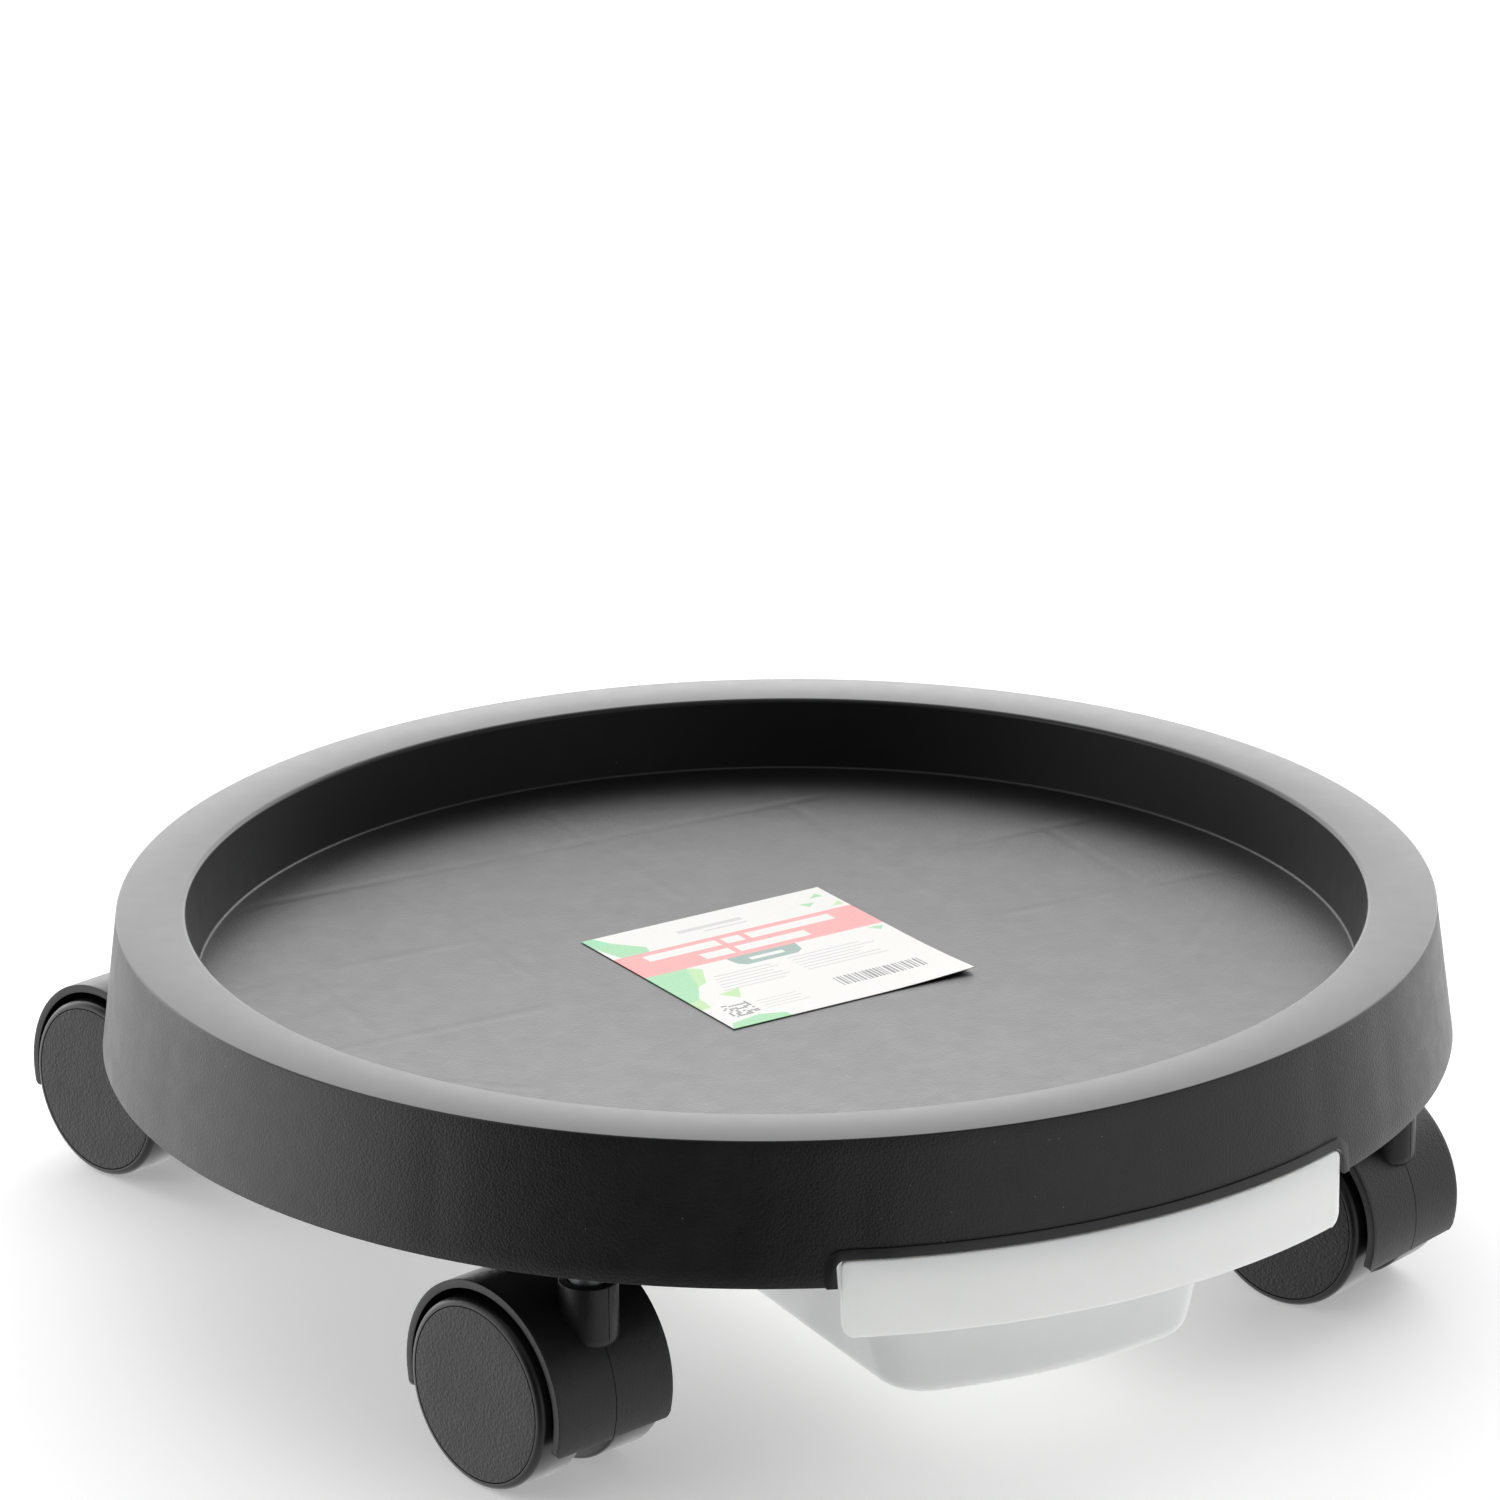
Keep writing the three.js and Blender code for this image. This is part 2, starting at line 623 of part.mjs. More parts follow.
// Wheel on the axle's positive side: a tread and a hub joined by a disc, open towards the
// web, with a seat for the cap on its outer face.
function makeWheel() {
  const bore = AXLE_RADIUS + RUNNING_GAP;
  const seat = WHEEL_OUTER - CAP_THICKNESS - RUNNING_GAP;
  const disc = seat - WALL;
  const treadInside = 17;
  const edge = 0.6;
  return aboutAxle([
    [bore, WHEEL_INNER],
    [HUB_RADIUS, WHEEL_INNER],
    [HUB_RADIUS, disc],
    [treadInside, disc],
    [treadInside, WHEEL_INNER],
    [WHEEL_RADIUS - edge, WHEEL_INNER],
    [WHEEL_RADIUS, WHEEL_INNER + edge],
    [WHEEL_RADIUS, WHEEL_OUTER - TREAD_ROUNDING],
    [CAP_RADIUS + RUNNING_GAP, WHEEL_OUTER],
    [CAP_RADIUS + RUNNING_GAP, seat],
    [bore, seat],
  ], WHEEL_FACETS);
}

function makeWheelCap() {
  const edge = 0.3;
  const inner = WHEEL_OUTER - CAP_THICKNESS;
  return aboutAxle([
    [0, inner],
    [CAP_RADIUS, inner],
    [CAP_RADIUS, WHEEL_OUTER - edge],
    [CAP_RADIUS - edge, WHEEL_OUTER],
    [0, WHEEL_OUTER],
  ], WHEEL_FACETS);
}

const housing = makeHousing();
const stem = makeStem();
const gripRing = makeGripRing();
const axle = makeAxle();
const wheel = makeWheel();
const cap = makeWheelCap();

// In a caster's own frame the stem stands on Z, +X is along the axle and the wheels trail
// towards -Y.
for (const { name, place, axle: axleAngle } of CASTERS) {
  const caster = new THREE.Group();
  const x = PIVOT_RADIUS * Math.cos(radians(place));
  const y = PIVOT_RADIUS * Math.sin(radians(place));
  caster.position.set(x, y, 0);
  caster.rotation.z = radians(axleAngle);
  addPiece(caster, `${name}_caster_housing`, housing, blackNylon);
  addPiece(caster, `${name}_caster_stem`, stem, zincPlatedSteel);
  addPiece(caster, `${name}_caster_grip_ring`, gripRing, zincPlatedSteel);
  addPiece(caster, `${name}_caster_axle`, axle, zincPlatedSteel);
  for (const [side, direction] of [['right', 1], ['left', -1]]) {
    const place3d = (body) => (direction > 0 ? body : body.mirror([1, 0, 0]));
    addPiece(caster, `${name}_caster_${side}_wheel`, place3d(wheel), blackNylon);
    addPiece(caster, `${name}_caster_${side}_wheel_cap`, place3d(cap), grainedNylon);
  }
  caddy.add(caster);
}

// ---------------------------------------------------------------- label

const sticker = block(
  -LABEL_WIDTH / 2,
  LABEL_WIDTH / 2,
  -LABEL_LENGTH / 2,
  LABEL_LENGTH / 2,
  0,
  LABEL_THICKNESS,
);
const stickerPlace = new THREE.Group();
stickerPlace.position.set(LABEL_X, LABEL_Y, FLOOR_TOP + LABEL_LIFT);
stickerPlace.rotation.z = radians(LABEL_TURN);
addPiece(stickerPlace, 'label', sticker, printedPaper);
caddy.add(stickerPlace);

export default caddy;
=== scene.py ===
# Plant pot caddy: a black moulded tray on four twin-wheel casters, with a milky drawer under it.
# Metres, +Z up. The origin is on the floor under the middle of the tray, and the drawer pulls
# out towards -Y. Each piece is modelled in its place and rides on the body that carries it.
import json
import math
from contextlib import contextmanager

import bmesh
import bpy
from mathutils import Matrix, Vector


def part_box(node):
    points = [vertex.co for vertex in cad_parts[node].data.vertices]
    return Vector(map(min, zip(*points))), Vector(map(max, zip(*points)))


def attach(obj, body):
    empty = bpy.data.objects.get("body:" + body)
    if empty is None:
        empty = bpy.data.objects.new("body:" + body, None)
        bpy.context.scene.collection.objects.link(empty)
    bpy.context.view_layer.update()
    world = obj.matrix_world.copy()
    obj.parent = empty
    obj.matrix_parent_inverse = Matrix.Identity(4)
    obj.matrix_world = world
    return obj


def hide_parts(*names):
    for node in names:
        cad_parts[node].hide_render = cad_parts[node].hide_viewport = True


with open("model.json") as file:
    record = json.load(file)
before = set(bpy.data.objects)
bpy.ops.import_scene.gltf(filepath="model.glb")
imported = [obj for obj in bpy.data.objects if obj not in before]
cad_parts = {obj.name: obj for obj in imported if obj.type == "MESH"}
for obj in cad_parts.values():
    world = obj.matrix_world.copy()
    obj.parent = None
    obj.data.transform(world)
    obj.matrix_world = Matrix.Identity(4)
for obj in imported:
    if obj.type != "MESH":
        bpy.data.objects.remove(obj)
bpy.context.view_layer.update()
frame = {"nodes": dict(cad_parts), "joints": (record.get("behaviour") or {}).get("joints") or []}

MM = 0.001


def mm(*lengths):
    """Millimetres as metres, one value or several."""
    scaled = tuple(length * MM for length in lengths)
    return scaled[0] if len(scaled) == 1 else scaled


# ---------------------------------------------------------------- sizes

tray_low, tray_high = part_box("tray")
drawer_low, drawer_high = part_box("drawer")
label_low, label_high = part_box("label")

# Tray
WALL = mm(2.4)
SKIRT_R = tray_high.x
TRAY_TOP = tray_high.z
RIM_R = SKIRT_R - mm(3.9)
RIM_INNER_R = mm(125.3)
FLOOR_R = mm(123.7)
FLOOR_TOP = mm(62.8)
SKIRT_BOTTOM = mm(49.2)
RIB = mm(1.6)
RIB_BOTTOM = mm(53.4)
REAR_RIB_Y = mm(86.5)
STOP_RIB_Y = mm(43)
SIDE_RIB_X = mm(92)
SLANT_RIB_X = mm(91)
SLANT_RIB_Y = mm(-27)
SLANT_RIB_HALF = mm(19)
SLANT_RIB_TURN = math.radians(43)
CASTER_RIB_DEGREES = 12  # bearing of the two ribs beside each caster, from the caster's own
SOCKET_R = mm(6.7)
SOCKET_BORE_R = mm(4.7)
SOCKET_TOP = mm(74.4)

# Drawer opening and guides
OPENING_HALF = mm(58.6)
OPENING_TOP = mm(54.9)
OPENING_CORNER = mm(1.8)
BEAD_WIDTH = mm(2)
BEAD_HEIGHT = mm(0.5)
RIDGE_X = mm(49.5)
RIDGE_BOTTOM = mm(52)
RAIL_X = mm(54.9)
RAIL_LIP_X = mm(50.6)
RAIL_BOTTOM = tray_low.z
GUIDE_FRONT_Y = mm(-112)

# Drawer
PANEL_R = SKIRT_R
PANEL_THICK = mm(2)
PANEL_HALF = drawer_high.x
PANEL_TOP = drawer_high.z
PANEL_BOTTOM = mm(38.4)
FLANGE_TOP = mm(51.5)
FLANGE_BOTTOM = mm(49.7)
FLANGE_HALF = mm(52.4)
FLANGE_STEP_HALF = mm(50.4)
FLANGE_STEP = mm(0.8)
FLANGE_BACK_Y = drawer_high.y
TUB_HALF = mm(46)
TUB_FRONT_R = mm(121.8)
TUB_BACK_Y = mm(40.6)
TUB_BOTTOM = drawer_low.z
TUB_SIDE_DRAFT = math.radians(16)
TUB_END_DRAFT = math.radians(3.5)
TUB_WALL = mm(1.8)
TUB_CORNER = mm(7.5)
TUB_FILLET = mm(3)

# Caster, in its own frame: the stem on Z, the axle along X, the wheels trailing towards -Y
TRAIL = mm(15.5)
WHEEL_R = mm(20)
WHEEL_INNER = mm(4.5)
WHEEL_OUTER = mm(17)
SHOULDER_ROUNDING = mm(1.45)
CAP_R = mm(18.3)
CAP_THICK = mm(1.2)
CAP_GAP = mm(0.2)
HUB_R = mm(6.2)
TREAD_INNER_R = mm(17)
BORE_R = mm(3.3)
HOOD_R = mm(23.35)
HOOD_SHELL = mm(1.65)
HOOD_HALF = mm(15.1)
HOOD_FRONT = math.radians(-19)
HOOD_BACK = math.radians(195)
HOOD_CORNER = mm(2.6)
WEB_HALF = mm(4.1)
BARREL_R = mm(6.05)
BARREL_TOP = mm(45)
BARREL_BOTTOM = mm(31)
STEM_R = mm(4)
JOURNAL_R = mm(3)
STEM_BOTTOM = mm(26)
STEM_SHOULDER = mm(36.5)
STEM_TOP = mm(73.4)
STEM_CHAMFER = mm(1.2)
GROOVE_R = mm(3.2)
GROOVE_BOTTOM = mm(64)
GROOVE_TOP = mm(69)
RUNNING_GAP = mm(0.3)
SEAM = mm(0.2)

# Label
LABEL_WIDTH = mm(60.4)
LABEL_LENGTH = mm(61.3)
LABEL_TURN = math.radians(4)
LABEL_PAPER_THICK = mm(0.12)

AXLE = Vector((0, -TRAIL, WHEEL_R))
CORNERS = ("front_left", "front_right", "rear_right", "rear_left")
CASTER_PLACES = {}
for joint in frame["joints"]:
    if joint["name"].endswith("_swivel"):
        corner = joint["name"].removesuffix("_swivel")
        CASTER_PLACES[corner] = {"pivot": Vector(joint["pos_m"])}
for joint in frame["joints"]:
    if joint["name"].endswith("_right_wheel_spin"):
        corner = joint["name"].removesuffix("_right_wheel_spin")
        CASTER_PLACES[corner]["turn"] = math.atan2(joint["axis"][1], joint["axis"][0])

ROUND = 288  # segments round the tray
TINY = mm(0.01)


# ---------------------------------------------------------------- modelling by hand, in code

def only(piece):
    """Selects this piece alone."""
    bpy.ops.object.select_all(action="DESELECT")
    piece.select_set(True)
    bpy.context.view_layer.objects.active = piece


def settle(piece):
    """Puts a piece's place, turn and scale into its mesh."""
    only(piece)
    bpy.ops.object.transform_apply(location=True, rotation=True, scale=True)
    return piece


def start(name, add, scale=(1, 1, 1), **sizes):
    """Adds a primitive at its size and place."""
    bpy.ops.object.select_all(action="DESELECT")
    add(**sizes)
    piece = bpy.context.object
    piece.name = name
    piece.scale = scale
    return settle(piece)


def block(name, low, high):
    """A cube primitive between two corners."""
    middle = [(a + b) / 2 for a, b in zip(low, high)]
    size = [b - a for a, b in zip(low, high)]
    return start(name, bpy.ops.mesh.primitive_cube_add, size=1, location=middle, scale=size)


def rod(name, radius, bottom, top, segments=48):
    """A cylinder primitive standing on Z."""
    return start(
        name,
        bpy.ops.mesh.primitive_cylinder_add,
        vertices=segments,
        radius=radius,
        depth=top - bottom,
        location=(0, 0, (top + bottom) / 2),
        end_fill_type="NGON",
    )


@contextmanager
def editing(piece):
    """Edit mode on one piece."""
    only(piece)
    bpy.ops.object.mode_set(mode="EDIT")
    yield
    bpy.ops.object.mode_set(mode="OBJECT")


@contextmanager
def picking(mode):
    """In edit mode, deselects everything and hands over the mesh to pick from."""
    bpy.ops.mesh.select_mode(type=mode)
    bpy.ops.mesh.select_all(action="DESELECT")
    cage = bmesh.from_edit_mesh(bpy.context.edit_object.data)
    yield cage
    cage.select_flush_mode()
    bmesh.update_edit_mesh(bpy.context.edit_object.data)


def pick_faces(test):
    """In edit mode, selects the faces whose middle and normal pass a test."""
    with picking("FACE") as cage:
        for face in cage.faces:
            face.select = test(face.calc_center_median(), face.normal)


def pick_edges(test):
    """In edit mode, selects the edges whose two ends pass a test."""
    with picking("EDGE") as cage:
        for edge in cage.edges:
            edge.select = test(edge.verts[0].co, edge.verts[1].co)


def pick_circle(radius, height, tolerance=mm(0.05)):
    """In edit mode, selects the edges of a circle about Z."""
    def on_circle(point):
        return abs(point.xy.length - radius) < tolerance and abs(point.z - height) < tolerance
    pick_edges(lambda a, b: on_circle(a) and on_circle(b))


def round_edges(width, segments):
    """Bevels the selected edges."""
    bpy.ops.mesh.bevel(offset=width, segments=segments, affect="EDGES", clamp_overlap=False)


def widen(ratio):
    """Scales what is selected in X and Y, about its middle."""
    bpy.ops.transform.resize(value=(ratio, ratio, 1))


def grow(radius, height, outline):
    """Extrudes the selected round face through a list of (radius, height) about Z."""
    for next_radius, next_height in outline:
        step = (0, 0, next_height - height)
        bpy.ops.mesh.extrude_region_move(TRANSFORM_OT_translate={"value": step})
        widen(next_radius / radius)
        radius = next_radius
        height = next_height


def cone(name, bottom_radius, top_radius, bottom, top):
    """A rod whose upper end has its own radius."""
    piece = rod(name, bottom_radius, bottom, top, ROUND)
    with editing(piece):
        pick_faces(lambda middle, normal: normal.z > 0.9)
        widen(top_radius / bottom_radius)
    return piece


def modify(piece, kind, **settings):
    """Adds a modifier with its settings and applies it."""
    modifier = piece.modifiers.new(kind.lower(), kind)
    for name, value in settings.items():
        setattr(modifier, name, value)
    only(piece)
    bpy.ops.object.modifier_apply(modifier=modifier.name)


def ease_edges(piece, degrees, width, segments):
    """Rounds every edge that turns by more than an angle."""
    modify(
        piece, "BEVEL", limit_method="ANGLE", angle_limit=math.radians(degrees), width=width,
        segments=segments)


def boolean(piece, tool, operation="DIFFERENCE"):
    """Cuts, joins or trims a piece with a tool, which is used up."""
    modify(piece, "BOOLEAN", operation=operation, solver="MANIFOLD", object=tool)
    bpy.data.objects.remove(tool)
    return piece


def copy_of(piece, name):
    """A copy with its own mesh."""
    twin = piece.copy()
    twin.data = piece.data.copy()
    twin.name = name
    bpy.context.scene.collection.objects.link(twin)
    return twin


def placed(piece, matrix):
    """Moves a finished piece by a matrix and settles the move into its mesh."""
    piece.matrix_world = matrix @ piece.matrix_world
    bpy.context.view_layer.update()
    return settle(piece)


def mirrored(piece, name):
    """A copy on the other side of the YZ plane, with its faces outwards."""
    twin = placed(copy_of(piece, name), Matrix.Scale(-1, 4, (1, 0, 0)))
    outwards(twin)
    return twin


def outwards(piece):
    with editing(piece):
        bpy.ops.mesh.select_all(action="SELECT")
        bpy.ops.mesh.remove_doubles(threshold=mm(0.001))
        bpy.ops.mesh.normals_make_consistent(inside=False)


def smooth(piece, degrees=32):
    """Shades round stretches smooth and keeps edges crisp."""
    only(piece)
    bpy.ops.object.shade_smooth_by_angle(angle=math.radians(degrees))


# ---------------------------------------------------------------- materials

def linear(hex_colour):
    """An sRGB hex colour as linear RGBA."""
    channels = [((hex_colour >> shift) & 255) / 255 for shift in (16, 8, 0)]
    return tuple(
        c / 12.92 if c <= 0.04045 else ((c + 0.055) / 1.055) ** 2.4 for c in channels
    ) + (1.0,)


def set_sockets(tree, node, inputs):
    """Gives a node's sockets their values and links."""
    for socket, value in inputs.items():
        if isinstance(value, bpy.types.NodeSocket):
            tree.links.new(value, node.inputs[socket])
        else:
            node.inputs[socket].default_value = value


def add_node(tree, kind, inputs=None, **settings):
    """Adds a node with its settings, its values and its links."""
    node = tree.nodes.new(kind)
    for name, value in settings.items():
        setattr(node, name, value)
    set_sockets(tree, node, inputs or {})
    return node


def new_material(name):
    """An empty node material: its tree, its shader and its Object coordinates."""
    material = bpy.data.materials.new(name)
    material.use_nodes = True
    tree = material.node_tree
    tree.nodes.clear()
    shader = add_node(tree, "ShaderNodeBsdfPrincipled")
    output = add_node(tree, "ShaderNodeOutputMaterial", {"Surface": shader.outputs["BSDF"]})
    output.is_active_output = True
    place = add_node(tree, "ShaderNodeTexCoord").outputs["Object"]
    return material, tree, shader, place


def per_metre(size):
    """Texture scale for a pattern that repeats every so many metres."""
    return 1 / size


def leather_grain(tree, place, cell, depth):
    """Height of a spark-eroded leather grain: small cells with worn edges, in metres."""
    wander = add_node(tree, "ShaderNodeTexNoise", {
        "Vector": place, "Scale": per_metre(cell * 2.5), "Detail": 2.0, "Roughness": 0.6})
    shifted = add_node(tree, "ShaderNodeMixRGB", {
        "Fac": cell * 0.35 / (1 + cell), "Color1": place, "Color2": wander.outputs["Color"]})
    cells = add_node(tree, "ShaderNodeTexVoronoi", {
        "Vector": shifted.outputs["Color"], "Scale": per_metre(cell), "Smoothness": 0.6,
        "Randomness": 1.0}, feature="SMOOTH_F1")
    raised = add_node(tree, "ShaderNodeMapRange", {
        "Value": cells.outputs["Distance"], "From Min": 0.1, "From Max": 0.75,
        "To Min": 1.0, "To Max": 0.0}, interpolation_type="SMOOTHSTEP")
    fine = add_node(tree, "ShaderNodeTexNoise", {
        "Vector": place, "Scale": per_metre(cell * 0.5), "Detail": 1.0, "Roughness": 0.5})
    mixed = add_node(tree, "ShaderNodeMath", {
        0: fine.outputs["Fac"], 1: 0.5, 2: raised.outputs["Result"]}, operation="MULTIPLY_ADD")
    return add_node(tree, "ShaderNodeMath", {
        0: mixed.outputs["Value"], 1: depth}, operation="MULTIPLY").outputs["Value"]


def varied(tree, place, size, low, high, detail=3.0):
    """A slow drift between two values, for roughness and shade."""
    cloud = add_node(tree, "ShaderNodeTexNoise", {
        "Vector": place, "Scale": per_metre(size), "Detail": detail, "Roughness": 0.55})
    return add_node(tree, "ShaderNodeMapRange", {
        "Value": cloud.outputs["Fac"], "From Min": 0.3, "From Max": 0.7,
        "To Min": low, "To Max": high}).outputs["Result"]


def dust_specks(tree, place, spacing, share):
    """1 on sparse pinhead specks of dust and moulding debris, 0 elsewhere."""
    points = add_node(tree, "ShaderNodeTexVoronoi", {
        "Vector": place, "Scale": per_metre(spacing), "Randomness": 1.0})
    chosen = add_node(tree, "ShaderNodeSeparateColor", {"Color": points.outputs["Color"]})
    lucky = add_node(tree, "ShaderNodeMath", {
        0: chosen.outputs["Red"], 1: 1 - share}, operation="GREATER_THAN")
    reach = add_node(tree, "ShaderNodeMapRange", {
        "Value": points.outputs["Distance"], "From Min": 0.03, "From Max": 0.08,
        "To Min": 1.0, "To Max": 0.0})
    return add_node(tree, "ShaderNodeMath", {
        0: lucky.outputs["Value"], 1: reach.outputs["Result"]},
        operation="MULTIPLY").outputs["Value"]


def clothe(tree, shader, sockets, height):
    """Sets the shader's sockets and presses a height, in metres, into the surface."""
    bump = add_node(tree, "ShaderNodeBump", {"Height": height, "Strength": 1.0, "Distance": 1.0})
    set_sockets(tree, shader, {**sockets, "Normal": bump.outputs["Normal"]})


def moulded_black(name, base, light, grain, depth, rough, specks=0.0, sinks=(), gloss=0.5):
    """Black thermoplastic, grained or plain. Carbon black leaves mostly the reflection to see.

    The body drifts between two near-blacks and the roughness between its two limits. The grain
    has a cell size and a depth, and sinks are shallow marks pressed in as well.
    """
    material, tree, shader, place = new_material(name)
    shade = varied(tree, place, mm(14), 0.0, 1.0)
    body = add_node(tree, "ShaderNodeMixRGB", {
        "Fac": shade, "Color1": linear(base), "Color2": linear(light)})
    colour = body.outputs["Color"]
    if specks:
        dust = dust_specks(tree, place, mm(1.9), specks)
        dusty = add_node(tree, "ShaderNodeMixRGB", {
            "Fac": dust, "Color1": colour, "Color2": linear(0x7A766F)})
        colour = dusty.outputs["Color"]
    height = leather_grain(tree, place, grain, depth)
    for sink in sinks:
        height = add_node(tree, "ShaderNodeMath", {
            0: height, 1: sink(tree, place)}, operation="SUBTRACT").outputs["Value"]
    clothe(tree, shader, {
        "Base Color": colour, "IOR": 1.5, "Specular IOR Level": gloss,
        "Roughness": varied(tree, place, mm(5), *rough)}, height)
    return material


def sink_line(middle, turn, half_length, width, depth):
    """A shallow sink mark opposite a rib: a straight, soft-sided furrow."""
    def furrow(tree, place):
        local = add_node(tree, "ShaderNodeMapping", {
            "Vector": place, "Location": (*middle, 0), "Rotation": (0, 0, turn)},
            vector_type="TEXTURE")
        axes = add_node(tree, "ShaderNodeSeparateXYZ", {"Vector": local.outputs["Vector"]})
        along = add_node(tree, "ShaderNodeMath", {0: axes.outputs["X"]}, operation="ABSOLUTE")
        across = add_node(tree, "ShaderNodeMath", {0: axes.outputs["Y"]}, operation="ABSOLUTE")
        ends = add_node(tree, "ShaderNodeMapRange", {
            "Value": along.outputs["Value"], "From Min": half_length - mm(4),
            "From Max": half_length + mm(2), "To Min": 1.0, "To Max": 0.0},
            interpolation_type="SMOOTHSTEP")
        sides = add_node(tree, "ShaderNodeMapRange", {
            "Value": across.outputs["Value"], "From Min": 0.0, "From Max": width,
            "To Min": depth, "To Max": 0.0}, interpolation_type="SMOOTHSTEP")
        return add_node(tree, "ShaderNodeMath", {
            0: ends.outputs["Result"], 1: sides.outputs["Result"]},
            operation="MULTIPLY").outputs["Value"]
    return furrow


def floor_sinks():
    """The marks that the ribs under the floor leave on its upper side."""
    width = mm(2.6)
    depth = mm(0.055)
    quarter = math.pi / 2
    def across(x0, x1, y):
        return sink_line(((x0 + x1) / 2, y), 0, abs(x1 - x0) / 2, width, depth)
    def along(x, y0, y1):
        return sink_line((x, (y0 + y1) / 2), quarter, abs(y1 - y0) / 2, width, depth)
    edge = FLOOR_R - mm(12)
    marks = [across(-mm(86), mm(60), REAR_RIB_Y), along(0, STOP_RIB_Y, edge)]
    for side in (-1, 1):
        marks += [
            across(side * RIDGE_X, side * edge, STOP_RIB_Y),
            across(side * RAIL_X, side * edge, 0),
            along(side * RIDGE_X, mm(16), REAR_RIB_Y),
            along(side * SIDE_RIB_X, 0, STOP_RIB_Y),
            sink_line(
                (side * SLANT_RIB_X, SLANT_RIB_Y), side * SLANT_RIB_TURN, SLANT_RIB_HALF, width,
                depth),
        ]
    return marks


# Polypropylene with carbon black, injection moulded. The skirt is spark-eroded to a fine
# leather grain, which breaks its reflections into a soft satin.
SKIRT_PLASTIC = moulded_black(
    "polypropylene_black_leather_grain", 0x111112, 0x151516, mm(0.52), mm(0.03),
    (0.36, 0.42), specks=0.10)

# The rim is left almost plain, so it mirrors its surroundings softly at a low angle.
RIM_PLASTIC = moulded_black(
    "polypropylene_black_satin", 0x141415, 0x18191A, mm(0.5), mm(0.002),
    (0.31, 0.34), specks=0.012)

# The floor has a fine grain, and soft sink marks over the ribs.
FLOOR_PLASTIC = moulded_black(
    "polypropylene_black_fine_grain", 0x141415, 0x171718, mm(0.6), mm(0.016),
    (0.34, 0.38), specks=0.03, sinks=floor_sinks())

# The recess wall is polished by its draw out of the mould, and shines more.
WALL_PLASTIC = moulded_black(
    "polypropylene_black_drawn", 0x0E0E0F, 0x121213, mm(0.8), mm(0.002),
    (0.44, 0.5), specks=0.012, gloss=0.3)

# Nylon 6, black, with a fine even texture: the caster housings.
HOUSING_NYLON = moulded_black(
    "nylon_black_fine_texture", 0x121213, 0x161617, mm(0.5), mm(0.018),
    (0.34, 0.42), specks=0.06, gloss=0.36)

# Nylon 6, black and unpolished: the wheels' treads and shoulders.
WHEEL_NYLON = moulded_black(
    "nylon_black_plain", 0x131314, 0x171718, mm(0.9), mm(0.002), (0.28, 0.34), gloss=0.4)

# Nylon 6, black, with a deep leather grain: the discs in the wheels.
CAP_NYLON = moulded_black(
    "nylon_black_leather_grain", 0x131314, 0x181819, mm(0.7), mm(0.055),
    (0.36, 0.42), specks=0.03, gloss=0.32)


def natural_polypropylene():
    """Unpigmented polypropylene, moulded: milky, with light going some way in."""
    material, tree, shader, place = new_material("polypropylene_natural_translucent")
    cloud = varied(tree, place, mm(40), 0.0, 1.0)
    body = add_node(tree, "ShaderNodeMixRGB", {
        "Fac": cloud, "Color1": linear(0xF3F5F2), "Color2": linear(0xF8F9F7)})
    ripple = add_node(tree, "ShaderNodeTexNoise", {
        "Vector": place, "Scale": per_metre(mm(14)), "Detail": 2.0})
    height = add_node(tree, "ShaderNodeMath", {
        0: ripple.outputs["Fac"], 1: mm(0.06)}, operation="MULTIPLY")
    clothe(tree, shader, {
        "Base Color": body.outputs["Color"], "IOR": 1.49, "Subsurface Weight": 0.7,
        "Subsurface Radius": (1.0, 0.95, 0.88), "Subsurface Scale": mm(4),
        "Roughness": varied(tree, place, mm(12), 0.28, 0.38)}, height.outputs["Value"])
    return material


def zinc_plated_steel():
    """Turned steel with matt zinc plating: fine rings of roughness round the stem. Its base grey
    is darker than bare zinc, as painted shade for the steel that sits in shadow in the casters.
    """
    material, tree, shader, place = new_material("steel_zinc_plated_darkened_for_shade")
    rings = add_node(tree, "ShaderNodeTexWave", {
        "Vector": place, "Scale": per_metre(mm(0.5)) / 20, "Distortion": 1.5},
        bands_direction="Z")
    roughness = add_node(tree, "ShaderNodeMapRange", {
        "Value": rings.outputs["Fac"], "To Min": 0.4, "To Max": 0.5})
    set_sockets(tree, shader, {
        # The base grey, darker than zinc's, is painted shade for the steel down in the casters.
        "Base Color": linear(0x8E9092), "Metallic": 1.0, "Roughness": roughness.outputs["Result"]})
    return material


DRAWER_PLASTIC = natural_polypropylene()
# Steel for the stems, axles and grip rings, with its base colour darkened as painted shade.
SHADE_DARKENED_STEEL = zinc_plated_steel()


def printed_paper(name, colours):
    """Coated label paper with offset ink: flat colour, faint fibres, a slight sheen."""
    material, tree, shader, place = new_material(name)
    fibres = varied(tree, place, mm(0.7), 0.0, 1.0, detail=4.0)
    ink = add_node(tree, "ShaderNodeMixRGB", {
        "Fac": fibres, "Color1": linear(colours[0]), "Color2": linear(colours[1])})
    height = add_node(tree, "ShaderNodeMath", {0: fibres, 1: mm(0.004)}, operation="MULTIPLY")
    clothe(tree, shader, {
        "Base Color": ink.outputs["Color"], "Roughness": 0.42, "IOR": 1.46},
        height.outputs["Value"])
    return material


LABEL_PAPER = printed_paper("paper_coated_white", (0xDCDBD7, 0xE0DFDB))
CORAL_INK = printed_paper("paper_printed_coral", (0xE98D8A, 0xEE9693))
LEAF_INK = printed_paper("paper_printed_leaf_green", (0x86C892, 0x92CF9C))
LIGHT_LEAF_INK = printed_paper("paper_printed_light_green", (0xA5D18F, 0xB0D79B))
DARK_LEAF_INK = printed_paper("paper_printed_dark_green", (0x7CC795, 0x88CE9F))
PINE_INK = printed_paper("paper_printed_pine_green", (0x7C9A90, 0x83A197))
GREY_INK = printed_paper("paper_printed_grey", (0xBDBCB9, 0xC6C5C2))
BLACK_INK = printed_paper("paper_printed_black", (0x6A6A6B, 0x757576))


